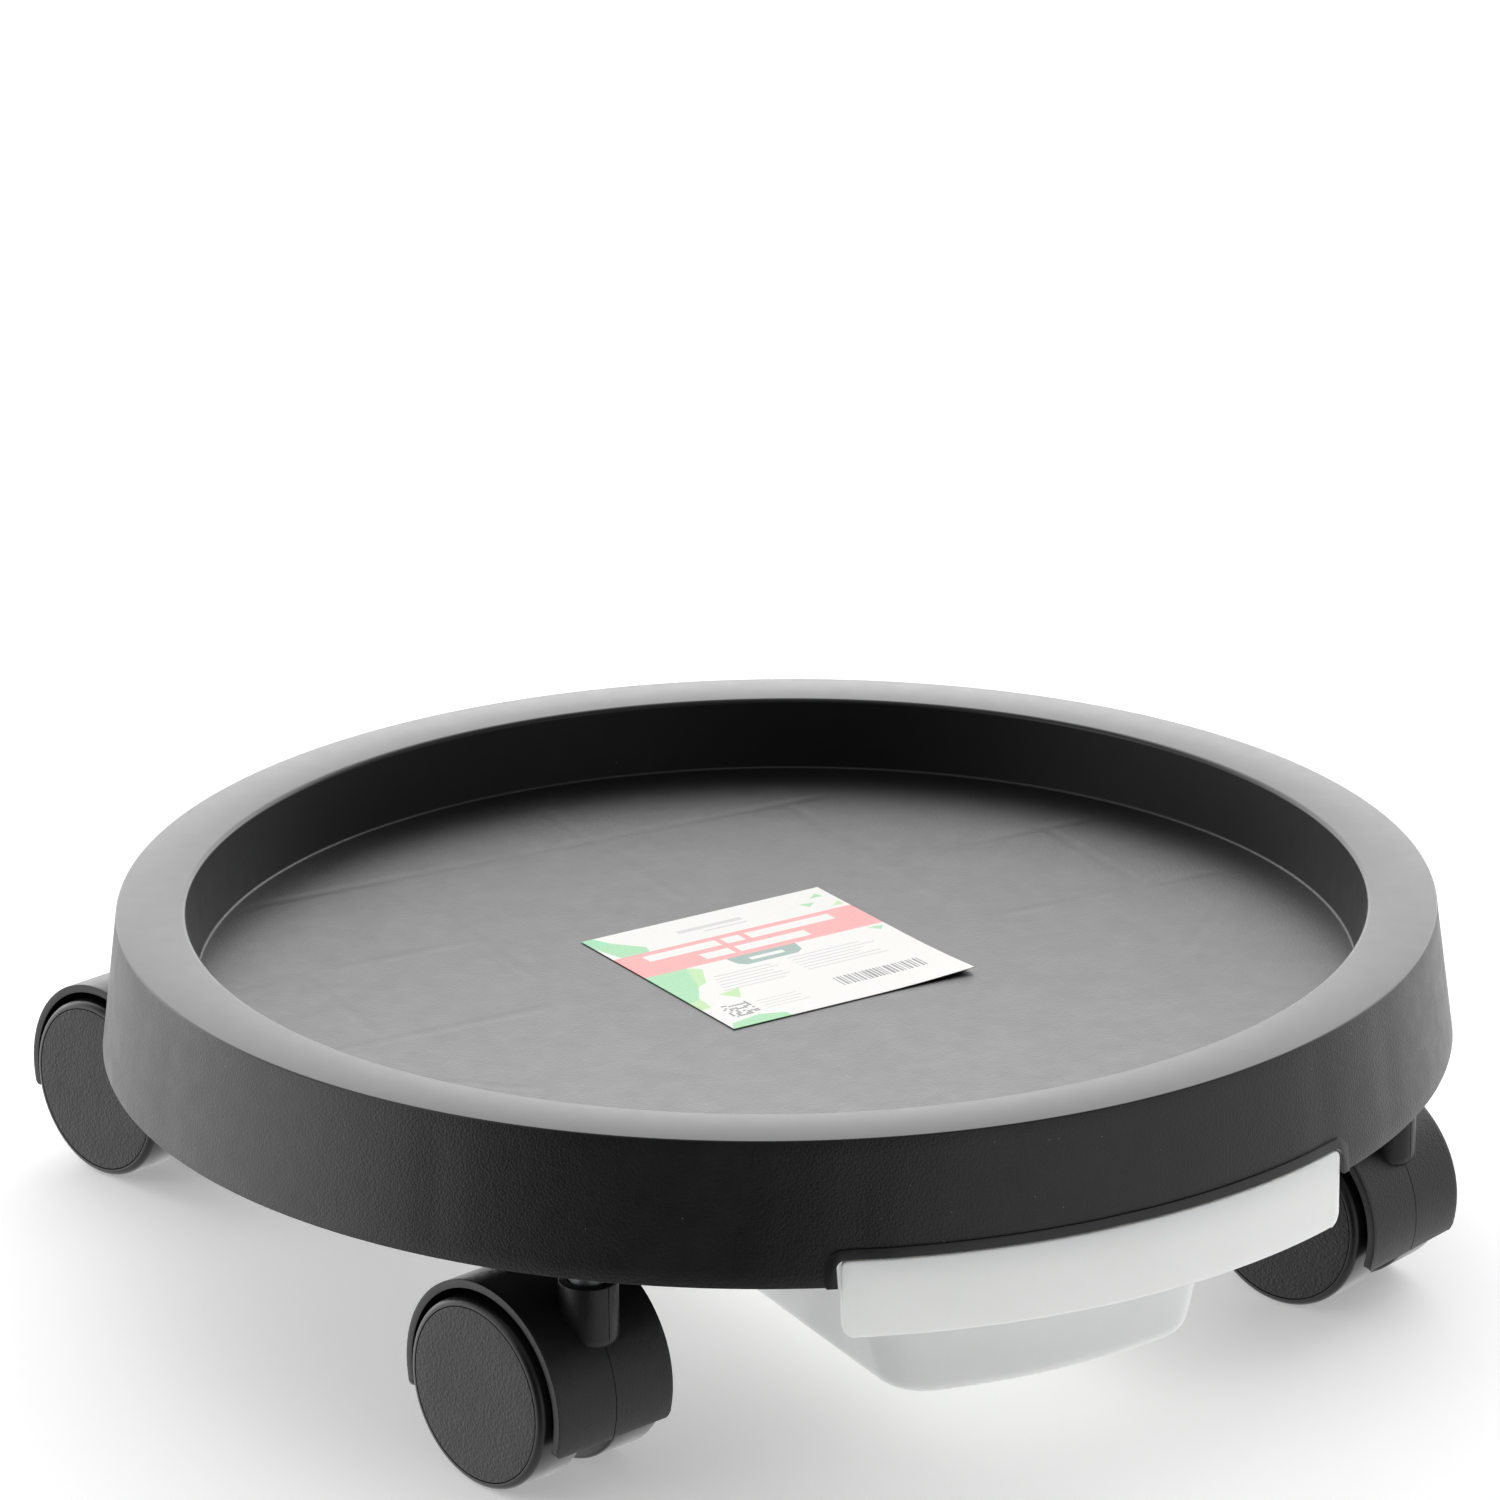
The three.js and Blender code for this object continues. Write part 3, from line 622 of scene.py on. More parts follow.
def finish_with(piece, material):
    """Gives a whole piece one material."""
    piece.data.materials.clear()
    piece.data.materials.append(material)


# ---------------------------------------------------------------- tray

def skirt_radius(height, depth=0.0):
    """Radius of the skirt's outside at a height, less a depth into its wall."""
    share = (TRAY_TOP - height) / (TRAY_TOP - SKIRT_BOTTOM)
    return RIM_R + share * (SKIRT_R - RIM_R) - depth


def tray_shell():
    """The turned body: flat rim, sunk floor, flared skirt and the channel between them."""
    tray = rod("tray_moulding", SKIRT_R, SKIRT_BOTTOM, TRAY_TOP, ROUND)
    under_rim = TRAY_TOP - WALL
    under_floor = FLOOR_TOP - WALL
    channel_outer = skirt_radius(under_floor, WALL)
    channel_inner = FLOOR_R + WALL
    with editing(tray):
        pick_faces(lambda middle, normal: normal.z > 0.9)
        widen(RIM_R / SKIRT_R)
        grow(RIM_R, TRAY_TOP, [(RIM_INNER_R, TRAY_TOP), (FLOOR_R, FLOOR_TOP)])
        pick_faces(lambda middle, normal: normal.z < -0.9)
        inner = skirt_radius(SKIRT_BOTTOM, WALL)
        grow(SKIRT_R, SKIRT_BOTTOM, [
            (inner, SKIRT_BOTTOM), (channel_outer, under_floor), (channel_inner, under_floor)])
        pick_faces(lambda middle, normal: (
            normal.z < -0.9 and abs(middle.z - under_floor) < TINY and middle.xy.length > mm(50)))
        step = (0, 0, under_rim - under_floor)
        bpy.ops.mesh.extrude_region_move(TRANSFORM_OT_translate={"value": step})
        pick_circle(channel_outer, under_rim)
        widen(skirt_radius(under_rim, WALL) / channel_outer)
        pick_circle(channel_inner, under_rim)
        widen((RIM_INNER_R + WALL) / channel_inner)
        # Rings up the skirt, which carry its sink marks.
        for share in (0.12, 0.3, 0.5, 0.7, 0.88):
            height = SKIRT_BOTTOM + share * (TRAY_TOP - SKIRT_BOTTOM)
            pick_faces(lambda middle, normal: (
                abs(normal.z) < 0.5 and middle.xy.length > RIM_R - mm(0.6)
                and normal.xy.dot(middle.xy) > 0))
            bpy.ops.mesh.bisect(plane_co=(0, 0, height), plane_no=(0, 0, 1))
        for radius, height, width, segments in (
                (RIM_INNER_R, TRAY_TOP, mm(0.9), 5), (RIM_R, TRAY_TOP, mm(0.35), 3),
                (FLOOR_R, FLOOR_TOP, mm(0.6), 4), (SKIRT_R, SKIRT_BOTTOM, mm(0.3), 2)):
            pick_circle(radius, height)
            round_edges(width, segments)
    return tray


def press_in_sink_marks(tray):
    """Draws the skirt in a little where ribs meet it from behind."""
    marks = [0, 90, 180, 270, 248, 292]  # degrees; the last two lie over the drawer's rails
    for place in CASTER_PLACES.values():
        bearing = math.degrees(math.atan2(place["pivot"].y, place["pivot"].x))
        marks += [bearing - CASTER_RIB_DEGREES, bearing + CASTER_RIB_DEGREES]
    half_width = mm(4.5)
    depth = mm(0.18)
    for vertex in tray.data.vertices:
        point = vertex.co
        radius = point.xy.length
        outside = radius > skirt_radius(point.z) - mm(0.05)
        if not outside or not SKIRT_BOTTOM + mm(2) < point.z < TRAY_TOP - mm(2):
            continue
        bearing = math.degrees(math.atan2(point.y, point.x))
        for mark in marks:
            off = math.radians((bearing - mark + 180) % 360 - 180) * radius
            if abs(off) < 2 * half_width:
                draw = depth * math.exp(-(off / half_width) ** 2 * 2)
                vertex.co.xy *= (radius - draw) / radius


def under_structure():
    """Ribs, drawer guides and caster sockets, made too long and trimmed inside the skirt."""
    top = FLOOR_TOP - WALL / 2
    rim_top = TRAY_TOP - WALL / 2
    above_opening = OPENING_TOP + BEAD_WIDTH
    blocks = []

    def across(x0, x1, y):
        blocks.append(((x0, y - RIB / 2, RIB_BOTTOM), (x1, y + RIB / 2, top), 0, (0, 0)))

    def along(x, y0, y1):
        blocks.append(((x - RIB / 2, y0, RIB_BOTTOM), (x + RIB / 2, y1, top), 0, (0, 0)))

    across(-FLOOR_R, FLOOR_R, REAR_RIB_Y)
    along(0, STOP_RIB_Y, FLOOR_R)
    half = SLANT_RIB_HALF
    for side in (-1, 1):
        across(*sorted((side * RIDGE_X, side * FLOOR_R)), STOP_RIB_Y)
        across(*sorted((side * RAIL_X, side * FLOOR_R)), 0)
        along(side * RIDGE_X, STOP_RIB_Y, REAR_RIB_Y)
        along(side * SIDE_RIB_X, 0, STOP_RIB_Y)
        blocks.append((
            (-half, -RIB / 2, RIB_BOTTOM), (half, RIB / 2, top),
            side * SLANT_RIB_TURN, (side * SLANT_RIB_X, SLANT_RIB_Y)))
        ridge_inner, ridge_outer = RIDGE_X - RIB / 2, RIDGE_X + RIB / 2
        rail_inner, rail_outer = RAIL_X - RIB / 2, RAIL_X + RIB / 2
        lip_top = RAIL_BOTTOM + RIB
        for x0, x1, y0, y1, z0, z1 in (
                (ridge_inner, ridge_outer, GUIDE_FRONT_Y, STOP_RIB_Y, RIDGE_BOTTOM, top),
                (rail_inner, rail_outer, GUIDE_FRONT_Y, STOP_RIB_Y, RAIL_BOTTOM, top),
                (RAIL_LIP_X, rail_outer, GUIDE_FRONT_Y, STOP_RIB_Y, RAIL_BOTTOM, lip_top),
                (rail_inner, rail_outer, -SKIRT_R, GUIDE_FRONT_Y + mm(1), above_opening, rim_top)):
            low_x, high_x = sorted((side * x0, side * x1))
            blocks.append(((low_x, y0, z0), (high_x, y1, z1), 0, (0, 0)))
    bearings = [0, math.pi / 2, math.pi, -math.pi / 2]
    for place in CASTER_PLACES.values():
        bearing = math.atan2(place["pivot"].y, place["pivot"].x)
        aside = math.radians(CASTER_RIB_DEGREES)
        bearings += [bearing - aside, bearing + aside]
    for bearing in bearings:
        low_z = above_opening if abs(bearing + math.pi / 2) < 0.01 else RIB_BOTTOM
        blocks.append(((FLOOR_R, -RIB / 2, low_z), (SKIRT_R, RIB / 2, rim_top), bearing, (0, 0)))

    whole = None
    for low, high, turn, place in blocks:
        rib = block("rib", low, high)
        if turn:
            rib = placed(rib, Matrix.Translation((*place, 0)) @ Matrix.Rotation(turn, 4, "Z"))
        whole = rib if whole is None else boolean(whole, rib, "UNION")
    for place in CASTER_PLACES.values():
        boss = rod("socket", SOCKET_R, SKIRT_BOTTOM + mm(1), rim_top, 40)
        boss = boolean(boss, rod("bore", SOCKET_BORE_R, SKIRT_BOTTOM, SOCKET_TOP, 40))
        pivot = place["pivot"]
        boss = placed(boss, Matrix.Translation((pivot.x, pivot.y, 0)))
        whole = boolean(whole, boss, "UNION")
    return whole


def trimmed_inside(ribs):
    """Keeps what lies inside the skirt's wall and outside the recess."""
    low = RAIL_BOTTOM - mm(1)
    half_wall = WALL / 2
    keep = cone(
        "skirt_inside", skirt_radius(low, half_wall), skirt_radius(TRAY_TOP, half_wall), low,
        TRAY_TOP)
    recess = cone(
        "recess", FLOOR_R + half_wall, RIM_INNER_R + half_wall, FLOOR_TOP - half_wall,
        TRAY_TOP + mm(1))
    return boolean(boolean(ribs, keep, "INTERSECT"), recess)


def opening_tool(margin):
    """A long rounded block that fills the drawer's opening, grown by a margin."""
    half = OPENING_HALF + margin
    top = OPENING_TOP + margin
    tool = block(
        "opening", (-half, -SKIRT_R - mm(2), RAIL_BOTTOM - mm(3)),
        (half, GUIDE_FRONT_Y - mm(1), top))
    with editing(tool):
        pick_edges(lambda a, b: a.z > top - TINY and b.z > top - TINY and abs(a.x - b.x) < TINY)
        round_edges(OPENING_CORNER + margin, 8)
    return tool


def opening_bead():
    """The raised border round the opening: a smooth bead with a soft outer edge."""
    top = OPENING_TOP + BEAD_WIDTH
    inner = skirt_radius(SKIRT_BOTTOM, WALL / 2)
    blank = cone(
        "opening_bead", skirt_radius(SKIRT_BOTTOM, -BEAD_HEIGHT), skirt_radius(top, -BEAD_HEIGHT),
        SKIRT_BOTTOM, top)
    blank = boolean(blank, rod("core", inner, SKIRT_BOTTOM - mm(1), top + mm(1), ROUND))
    blank = boolean(blank, opening_tool(BEAD_WIDTH), "INTERSECT")
    blank = boolean(blank, opening_tool(0))
    ease_edges(blank, 50, mm(0.4), 3)
    return blank


def paint_tray(tray):
    """Gives each region of the moulding the finish its mould face had."""
    tray.data.materials.clear()
    for material in (SKIRT_PLASTIC, RIM_PLASTIC, FLOOR_PLASTIC, WALL_PLASTIC):
        tray.data.materials.append(material)
    skirt, rim, floor, wall = range(4)
    for face in tray.data.polygons:
        radius = face.center.xy.length
        if face.center.z > TRAY_TOP - mm(1) and radius > RIM_INNER_R - mm(0.5):
            face.material_index = rim
        elif abs(face.center.z - FLOOR_TOP) < mm(0.4) and radius < FLOOR_R:
            face.material_index = floor
        elif radius > RIM_R - mm(0.6) and radius > skirt_radius(face.center.z, mm(0.3)):
            opening = abs(face.center.x) < OPENING_HALF + BEAD_WIDTH and face.center.y < 0
            bead = opening and face.center.z < OPENING_TOP + BEAD_WIDTH
            face.material_index = rim if bead else skirt
        elif face.center.z > FLOOR_TOP - mm(0.1):
            face.material_index = wall
        else:
            face.material_index = rim


def make_tray():
    tray = tray_shell()
    tray = boolean(tray, trimmed_inside(under_structure()), "UNION")
    tray = boolean(tray, opening_bead(), "UNION")
    tray = boolean(tray, opening_tool(0))
    press_in_sink_marks(tray)
    smooth(tray, 28)
    paint_tray(tray)
    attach(tray, "tray_body")
    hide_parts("tray")


# ---------------------------------------------------------------- drawer

def tub_block(wall, top):
    """The tub as a solid, moved in by a wall thickness: drafted sides, a bowed front."""
    bottom = TUB_BOTTOM + wall
    drop = FLANGE_TOP - bottom

    def half_at(height):
        return TUB_HALF - wall - (FLANGE_TOP - height) * math.tan(TUB_SIDE_DRAFT)

    def front_at(height, x):
        bow_radius = TUB_FRONT_R - wall - (FLANGE_TOP - height) * math.tan(TUB_END_DRAFT)
        return -math.sqrt(bow_radius ** 2 - x ** 2)

    back = TUB_BACK_Y - wall
    front = front_at(top, half_at(top))
    tub = block("tub", (-half_at(top), front, bottom), (half_at(top), back, top))
    with editing(tub):
        pick_faces(lambda middle, normal: normal.z < -0.9)
        bpy.ops.transform.resize(value=(half_at(bottom) / half_at(top), 1, 1))
        pick_edges(lambda a, b: a.z < bottom + TINY and b.z < bottom + TINY and min(a.y, b.y) > 0)
        bpy.ops.transform.translate(value=(0, -drop * math.tan(TUB_END_DRAFT), 0))
        pick_edges(lambda a, b: a.z < bottom + TINY and b.z < bottom + TINY and max(a.y, b.y) < 0)
        bpy.ops.transform.translate(value=(0, front_at(bottom, half_at(bottom)) - front, 0))
        pick_edges(lambda a, b: abs(a.z - b.z) > mm(20))
        round_edges(TUB_CORNER - wall / 2, 8)
        # Upright strips, so that the front can bow out.
        for strip in range(-4, 5):
            bpy.ops.mesh.select_all(action="SELECT")
            bpy.ops.mesh.bisect(
                plane_co=(strip * mm(6), 0, 0), plane_no=(1, 0, 0), threshold=mm(0.01))
    for vertex in tub.data.vertices:
        if vertex.co.y < front / 2:
            height = vertex.co.z
            vertex.co.y += front_at(height, vertex.co.x) - front_at(height, half_at(height))
    with editing(tub):
        # The foot's outline: edges at the bottom whose middle lies on no inner strip line.
        def outline(a, b):
            low = a.z < bottom + TINY and b.z < bottom + TINY
            strip_line = abs(a.x - b.x) < TINY and abs(a.x) < half_at(bottom) - mm(0.1)
            return low and not strip_line
        pick_edges(outline)
        round_edges(TUB_FILLET - wall * 0.6, 6)
    return tub


def flange_plate(name, half, back, bottom, top):
    """A plate with straight sides and back, and the panel's curve in front."""
    plate = block(name, (-half, -SKIRT_R, bottom), (half, back, top))
    disc = rod("bow", PANEL_R - PANEL_THICK / 2, bottom - mm(1), top + mm(1), ROUND)
    plate = boolean(plate, disc, "INTERSECT")
    with editing(plate):
        pick_edges(lambda a, b: abs(a.z - b.z) > mm(0.3) and min(a.y, b.y) > 0)
        round_edges(mm(3), 6)
    return plate


def front_panel():
    """The curved front, spun from one upright strip, with all its edges eased."""
    middle = PANEL_R - PANEL_THICK / 2
    half_angle = math.asin(PANEL_HALF / PANEL_R)
    start_angle = -math.pi / 2 - half_angle
    mid_height = (PANEL_TOP + PANEL_BOTTOM) / 2
    panel = start(
        "drawer_moulding",
        bpy.ops.mesh.primitive_plane_add,
        size=1,
        location=(middle * math.cos(start_angle), middle * math.sin(start_angle), mid_height),
        rotation=(math.pi / 2, 0, start_angle),
        scale=(PANEL_THICK, PANEL_TOP - PANEL_BOTTOM, 1),
    )
    with editing(panel):
        bpy.ops.mesh.select_all(action="SELECT")
        bpy.ops.mesh.spin(steps=48, angle=-2 * half_angle, center=(0, 0, 0), axis=(0, 0, 1))
    outwards(panel)
    end_x = PANEL_HALF - mm(1.2)
    with editing(panel):
        for low, radius in ((True, mm(3)), (False, mm(1.7))):
            height = PANEL_BOTTOM if low else PANEL_TOP
            pick_edges(lambda a, b: (
                abs(a.z - height) < TINY and abs(b.z - height) < TINY
                and min(abs(a.x), abs(b.x)) > end_x and abs(a.xy.length - b.xy.length) > mm(1)))
            round_edges(radius, 6)
    ease_edges(panel, 60, mm(0.35), 3)
    return panel


def make_drawer():
    drawer = front_panel()
    lower_top = FLANGE_TOP - FLANGE_STEP
    lower = flange_plate("flange", FLANGE_HALF, FLANGE_BACK_Y, FLANGE_BOTTOM, lower_top)
    upper = flange_plate(
        "flange_step", FLANGE_STEP_HALF, FLANGE_BACK_Y - mm(1.6), lower_top - mm(0.2), FLANGE_TOP)
    drawer = boolean(drawer, lower, "UNION")
    drawer = boolean(drawer, upper, "UNION")
    drawer = boolean(drawer, tub_block(0, FLANGE_BOTTOM + mm(0.3)), "UNION")
    drawer = boolean(drawer, tub_block(TUB_WALL, FLANGE_TOP + mm(2)))
    smooth(drawer, 30)
    finish_with(drawer, DRAWER_PLASTIC)
    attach(drawer, "drawer_body")
    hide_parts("drawer")


# ---------------------------------------------------------------- casters

def on_axle(piece):
    """Turns a piece modelled about Z, from the caster's middle plane up, onto the axle."""
    return placed(piece, Matrix.Translation(AXLE) @ Matrix.Rotation(math.pi / 2, 4, "Y"))


def make_wheel():
    """Right wheel: a tread and hub joined by a disc and six spokes, with a seat for the cap."""
    wheel = rod("wheel", WHEEL_R, WHEEL_INNER, WHEEL_OUTER, 96)
    seat = WHEEL_OUTER - CAP_THICK - CAP_GAP
    disc = seat - mm(2.2)
    seat_r = CAP_R + mm(0.12)
    with editing(wheel):
        pick_faces(lambda middle, normal: normal.z > 0.9)
        grow(WHEEL_R, WHEEL_OUTER, [(seat_r, WHEEL_OUTER), (seat_r, seat)])
        pick_faces(lambda middle, normal: normal.z < -0.9)
        grow(WHEEL_R, WHEEL_INNER, [
            (TREAD_INNER_R, WHEEL_INNER), (TREAD_INNER_R - mm(0.4), disc), (HUB_R + mm(0.4), disc),
            (HUB_R, WHEEL_INNER)])
        for radius, height, width, segments in (
                (WHEEL_R, WHEEL_OUTER, SHOULDER_ROUNDING, 8), (seat_r, WHEEL_OUTER, mm(0.08), 2),
                (WHEEL_R, WHEEL_INNER, mm(0.8), 4), (HUB_R, WHEEL_INNER, mm(0.3), 2)):
            pick_circle(radius, height)
            round_edges(width, segments)
    spoke_count = 6
    for number in range(spoke_count):
        spoke = block(
            "spoke", (HUB_R - mm(1), -mm(0.6), WHEEL_INNER + mm(2)),
            (TREAD_INNER_R + mm(0.5), mm(0.6), disc + mm(0.5)))
        spoke = placed(spoke, Matrix.Rotation(math.tau * number / spoke_count, 4, "Z"))
        wheel = boolean(wheel, spoke, "UNION")
    wheel = boolean(wheel, rod("bore", BORE_R, 0, WHEEL_OUTER, 40))
    smooth(wheel, 34)
    return on_axle(wheel)


def make_wheel_cap():
    """The disc pressed into a wheel's outer face, flush, with an eased edge."""
    cap = rod("wheel_cap", CAP_R, WHEEL_OUTER - CAP_THICK, WHEEL_OUTER, 96)
    with editing(cap):
        pick_faces(lambda middle, normal: normal.z > 0.9)
        grow(CAP_R, WHEEL_OUTER, [
            (CAP_R - mm(0.25), WHEEL_OUTER + mm(0.02)), (CAP_R - mm(5), WHEEL_OUTER + mm(0.05))])
        pick_faces(lambda middle, normal: normal.z < -0.9)
        grow(CAP_R, WHEEL_OUTER - CAP_THICK, [
            (mm(8), WHEEL_OUTER - CAP_THICK), (mm(7.6), WHEEL_OUTER - CAP_THICK + mm(0.4))])
        pick_circle(CAP_R, WHEEL_OUTER)
        round_edges(mm(0.22), 3)
    smooth(cap, 40)
    return on_axle(cap)


def hood_shell():
    """The hood: one cross-section with a beaded edge each side, spun about the axle."""
    middle = HOOD_R - HOOD_SHELL / 2
    hood = start(
        "hood",
        bpy.ops.mesh.primitive_plane_add,
        size=1,
        location=AXLE + middle * Vector((0, math.cos(HOOD_FRONT), math.sin(HOOD_FRONT))),
        rotation=(HOOD_FRONT, 0, 0),
        scale=(2 * HOOD_HALF, HOOD_SHELL, 1),
    )
    radial = Vector((0, math.cos(HOOD_FRONT), math.sin(HOOD_FRONT)))
    with editing(hood):
        bead = HOOD_HALF - mm(1.1)
        slope = HOOD_HALF - mm(1.5)
        for offset in (-bead, bead, -slope, slope):
            bpy.ops.mesh.select_all(action="SELECT")
            bpy.ops.mesh.bisect(plane_co=(offset, 0, 0), plane_no=(1, 0, 0))
        # The bead stands in from the shell's inner side.
        pick_edges(lambda a, b: (
            min(abs(a.x), abs(b.x)) > bead - TINY
            and max((a - AXLE).dot(radial), (b - AXLE).dot(radial)) < middle))
        bpy.ops.transform.translate(value=tuple(-mm(0.15) * radial))
        bpy.ops.mesh.select_all(action="SELECT")
        bpy.ops.mesh.spin(steps=56, angle=HOOD_FRONT - HOOD_BACK, center=AXLE, axis=(1, 0, 0))
    outwards(hood)
    with editing(hood):
        for angle in (HOOD_FRONT, HOOD_BACK):
            end = Vector((0, math.cos(angle), math.sin(angle)))
            normal = Vector((0, -end.z, end.y))
            pick_edges(lambda a, b: (
                abs((a - AXLE).dot(normal)) < TINY and abs((b - AXLE).dot(normal)) < TINY
                and (a - AXLE).dot(end) > 0 and (b - AXLE).dot(end) > 0
                and min(abs(a.x), abs(b.x)) > HOOD_HALF - TINY))
            round_edges(HOOD_CORNER, 7)
    ease_edges(hood, 60, mm(0.6), 4)
    return hood


def wheel_room(side):
    """What a wheel needs to turn in, on one side of the web."""
    room = rod("room", HOOD_R - HOOD_SHELL + mm(0.02), WEB_HALF, HOOD_HALF + mm(2), 128)
    room = on_axle(room)
    return room if side > 0 else mirrored_away(room)


def mirrored_away(piece):
    """The mirror image of a tool, in place of the tool."""
    twin = mirrored(piece, piece.name)
    bpy.data.objects.remove(piece)
    return twin


def seam_cutters():
    """Fine grooves on the middle plane, where the two mould halves met."""
    depth = mm(0.14)
    arc = on_axle(rod("hood_seam", HOOD_R + mm(1), -SEAM / 2, SEAM / 2, 128))
    arc = boolean(arc, on_axle(rod("core", HOOD_R - depth, -mm(1), mm(1), 128)))
    plate = block(
        "barrel_seam", (-SEAM / 2, -BARREL_R - mm(1), mm(30)),
        (SEAM / 2, BARREL_R + mm(1), BARREL_TOP + mm(1)))
    plate = boolean(plate, rod("core", BARREL_R - depth, mm(20), mm(60), 64))
    return arc, plate


def make_housing():
    """Hood, web and stem barrel in one moulding."""
    web = on_axle(rod("web", HOOD_R - HOOD_SHELL / 2, -WEB_HALF, WEB_HALF, 128))
    foot = AXLE.z + HOOD_R * math.sin(HOOD_FRONT)
    below = block("below", (-mm(10), -mm(50), -mm(20)), (mm(10), mm(20), foot))
    web = boolean(web, below)
    barrel = rod("barrel", BARREL_R, BARREL_BOTTOM, BARREL_TOP, 64)
    with editing(barrel):
        pick_circle(BARREL_R, BARREL_BOTTOM)
        round_edges(mm(2.8), 7)
        pick_circle(BARREL_R, BARREL_TOP)
        round_edges(mm(0.35), 3)
    housing = boolean(web, barrel, "UNION")
    for side in (-1, 1):
        housing = boolean(housing, wheel_room(side))
    housing = boolean(hood_shell(), housing, "UNION")
    housing.name = "housing"
    cutters = [
        rod("bore", JOURNAL_R + RUNNING_GAP, STEM_BOTTOM - RUNNING_GAP, STEM_SHOULDER, 40),
        rod("bore", STEM_R + RUNNING_GAP, STEM_SHOULDER - RUNNING_GAP, BARREL_TOP + mm(1), 40),
        on_axle(rod("axle_hole", BORE_R, -mm(10), mm(10), 40)),
        *seam_cutters(),
    ]
    for cutter in cutters:
        housing = boolean(housing, cutter)
    smooth(housing, 30)
    return housing


def make_stem():
    """Turned stem: a journal below, a grooved shank above and a chamfered tip."""
    stem = rod("stem", JOURNAL_R, STEM_BOTTOM, STEM_SHOULDER, 40)
    with editing(stem):
        pick_faces(lambda middle, normal: normal.z > 0.9)
        grow(JOURNAL_R, STEM_SHOULDER, [
            (STEM_R, STEM_SHOULDER), (STEM_R, GROOVE_BOTTOM), (GROOVE_R, GROOVE_BOTTOM),
            (GROOVE_R, GROOVE_TOP), (STEM_R, GROOVE_TOP), (STEM_R, STEM_TOP - STEM_CHAMFER),
            (STEM_R - STEM_CHAMFER, STEM_TOP)])
    smooth(stem, 30)
    return stem


def make_casters():
    """One caster modelled in its own frame, copied to the four corners of the tray.

    The axles and grip rings are the CAD's own, which only get their steel.
    """
    patterns = {
        "housing": (make_housing(), HOUSING_NYLON, "caster_nylon"),
        "stem": (make_stem(), SHADE_DARKENED_STEEL, "steel"),
        "right_wheel": (make_wheel(), WHEEL_NYLON, "caster_nylon"),
        "right_wheel_cap": (make_wheel_cap(), CAP_NYLON, "cap_nylon"),
    }
    half_turn = (
        Matrix.Translation(AXLE) @ Matrix.Rotation(math.pi, 4, "Z") @ Matrix.Translation(-AXLE))
    for part in ("wheel", "wheel_cap"):
        pattern, material, slot = patterns[f"right_{part}"]
        twin = placed(copy_of(pattern, f"left_{part}"), half_turn)
        patterns[f"left_{part}"] = (twin, material, slot)
    for corner in CORNERS:
        place = CASTER_PLACES[corner]
        pivot = place["pivot"]
        matrix = Matrix.Translation((pivot.x, pivot.y, 0)) @ Matrix.Rotation(place["turn"], 4, "Z")
        bodies = {
            "housing": f"{corner}_caster",
            "stem": "tray_body",
            "right_wheel": f"{corner}_right_wheel",
            "right_wheel_cap": f"{corner}_right_wheel",
            "left_wheel": f"{corner}_left_wheel",
            "left_wheel_cap": f"{corner}_left_wheel",
        }
        for part, (pattern, material, slot) in patterns.items():
            piece = placed(copy_of(pattern, f"{corner}_{part}_moulding"), matrix)
            finish_with(piece, material)
            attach(piece, bodies[part])
            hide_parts(f"{corner}_caster_{part}")
        for part in ("axle", "grip_ring"):
            node = frame["nodes"][f"{corner}_caster_{part}"]
            node.data.materials.clear()
            node.data.materials.append(SHADE_DARKENED_STEEL)
    for pattern, _, _ in patterns.values():
        bpy.data.objects.remove(pattern)


# ---------------------------------------------------------------- label

def rectangle(left, top, right, bottom):
    return [(left, top), (right, top), (right, bottom), (left, bottom)]


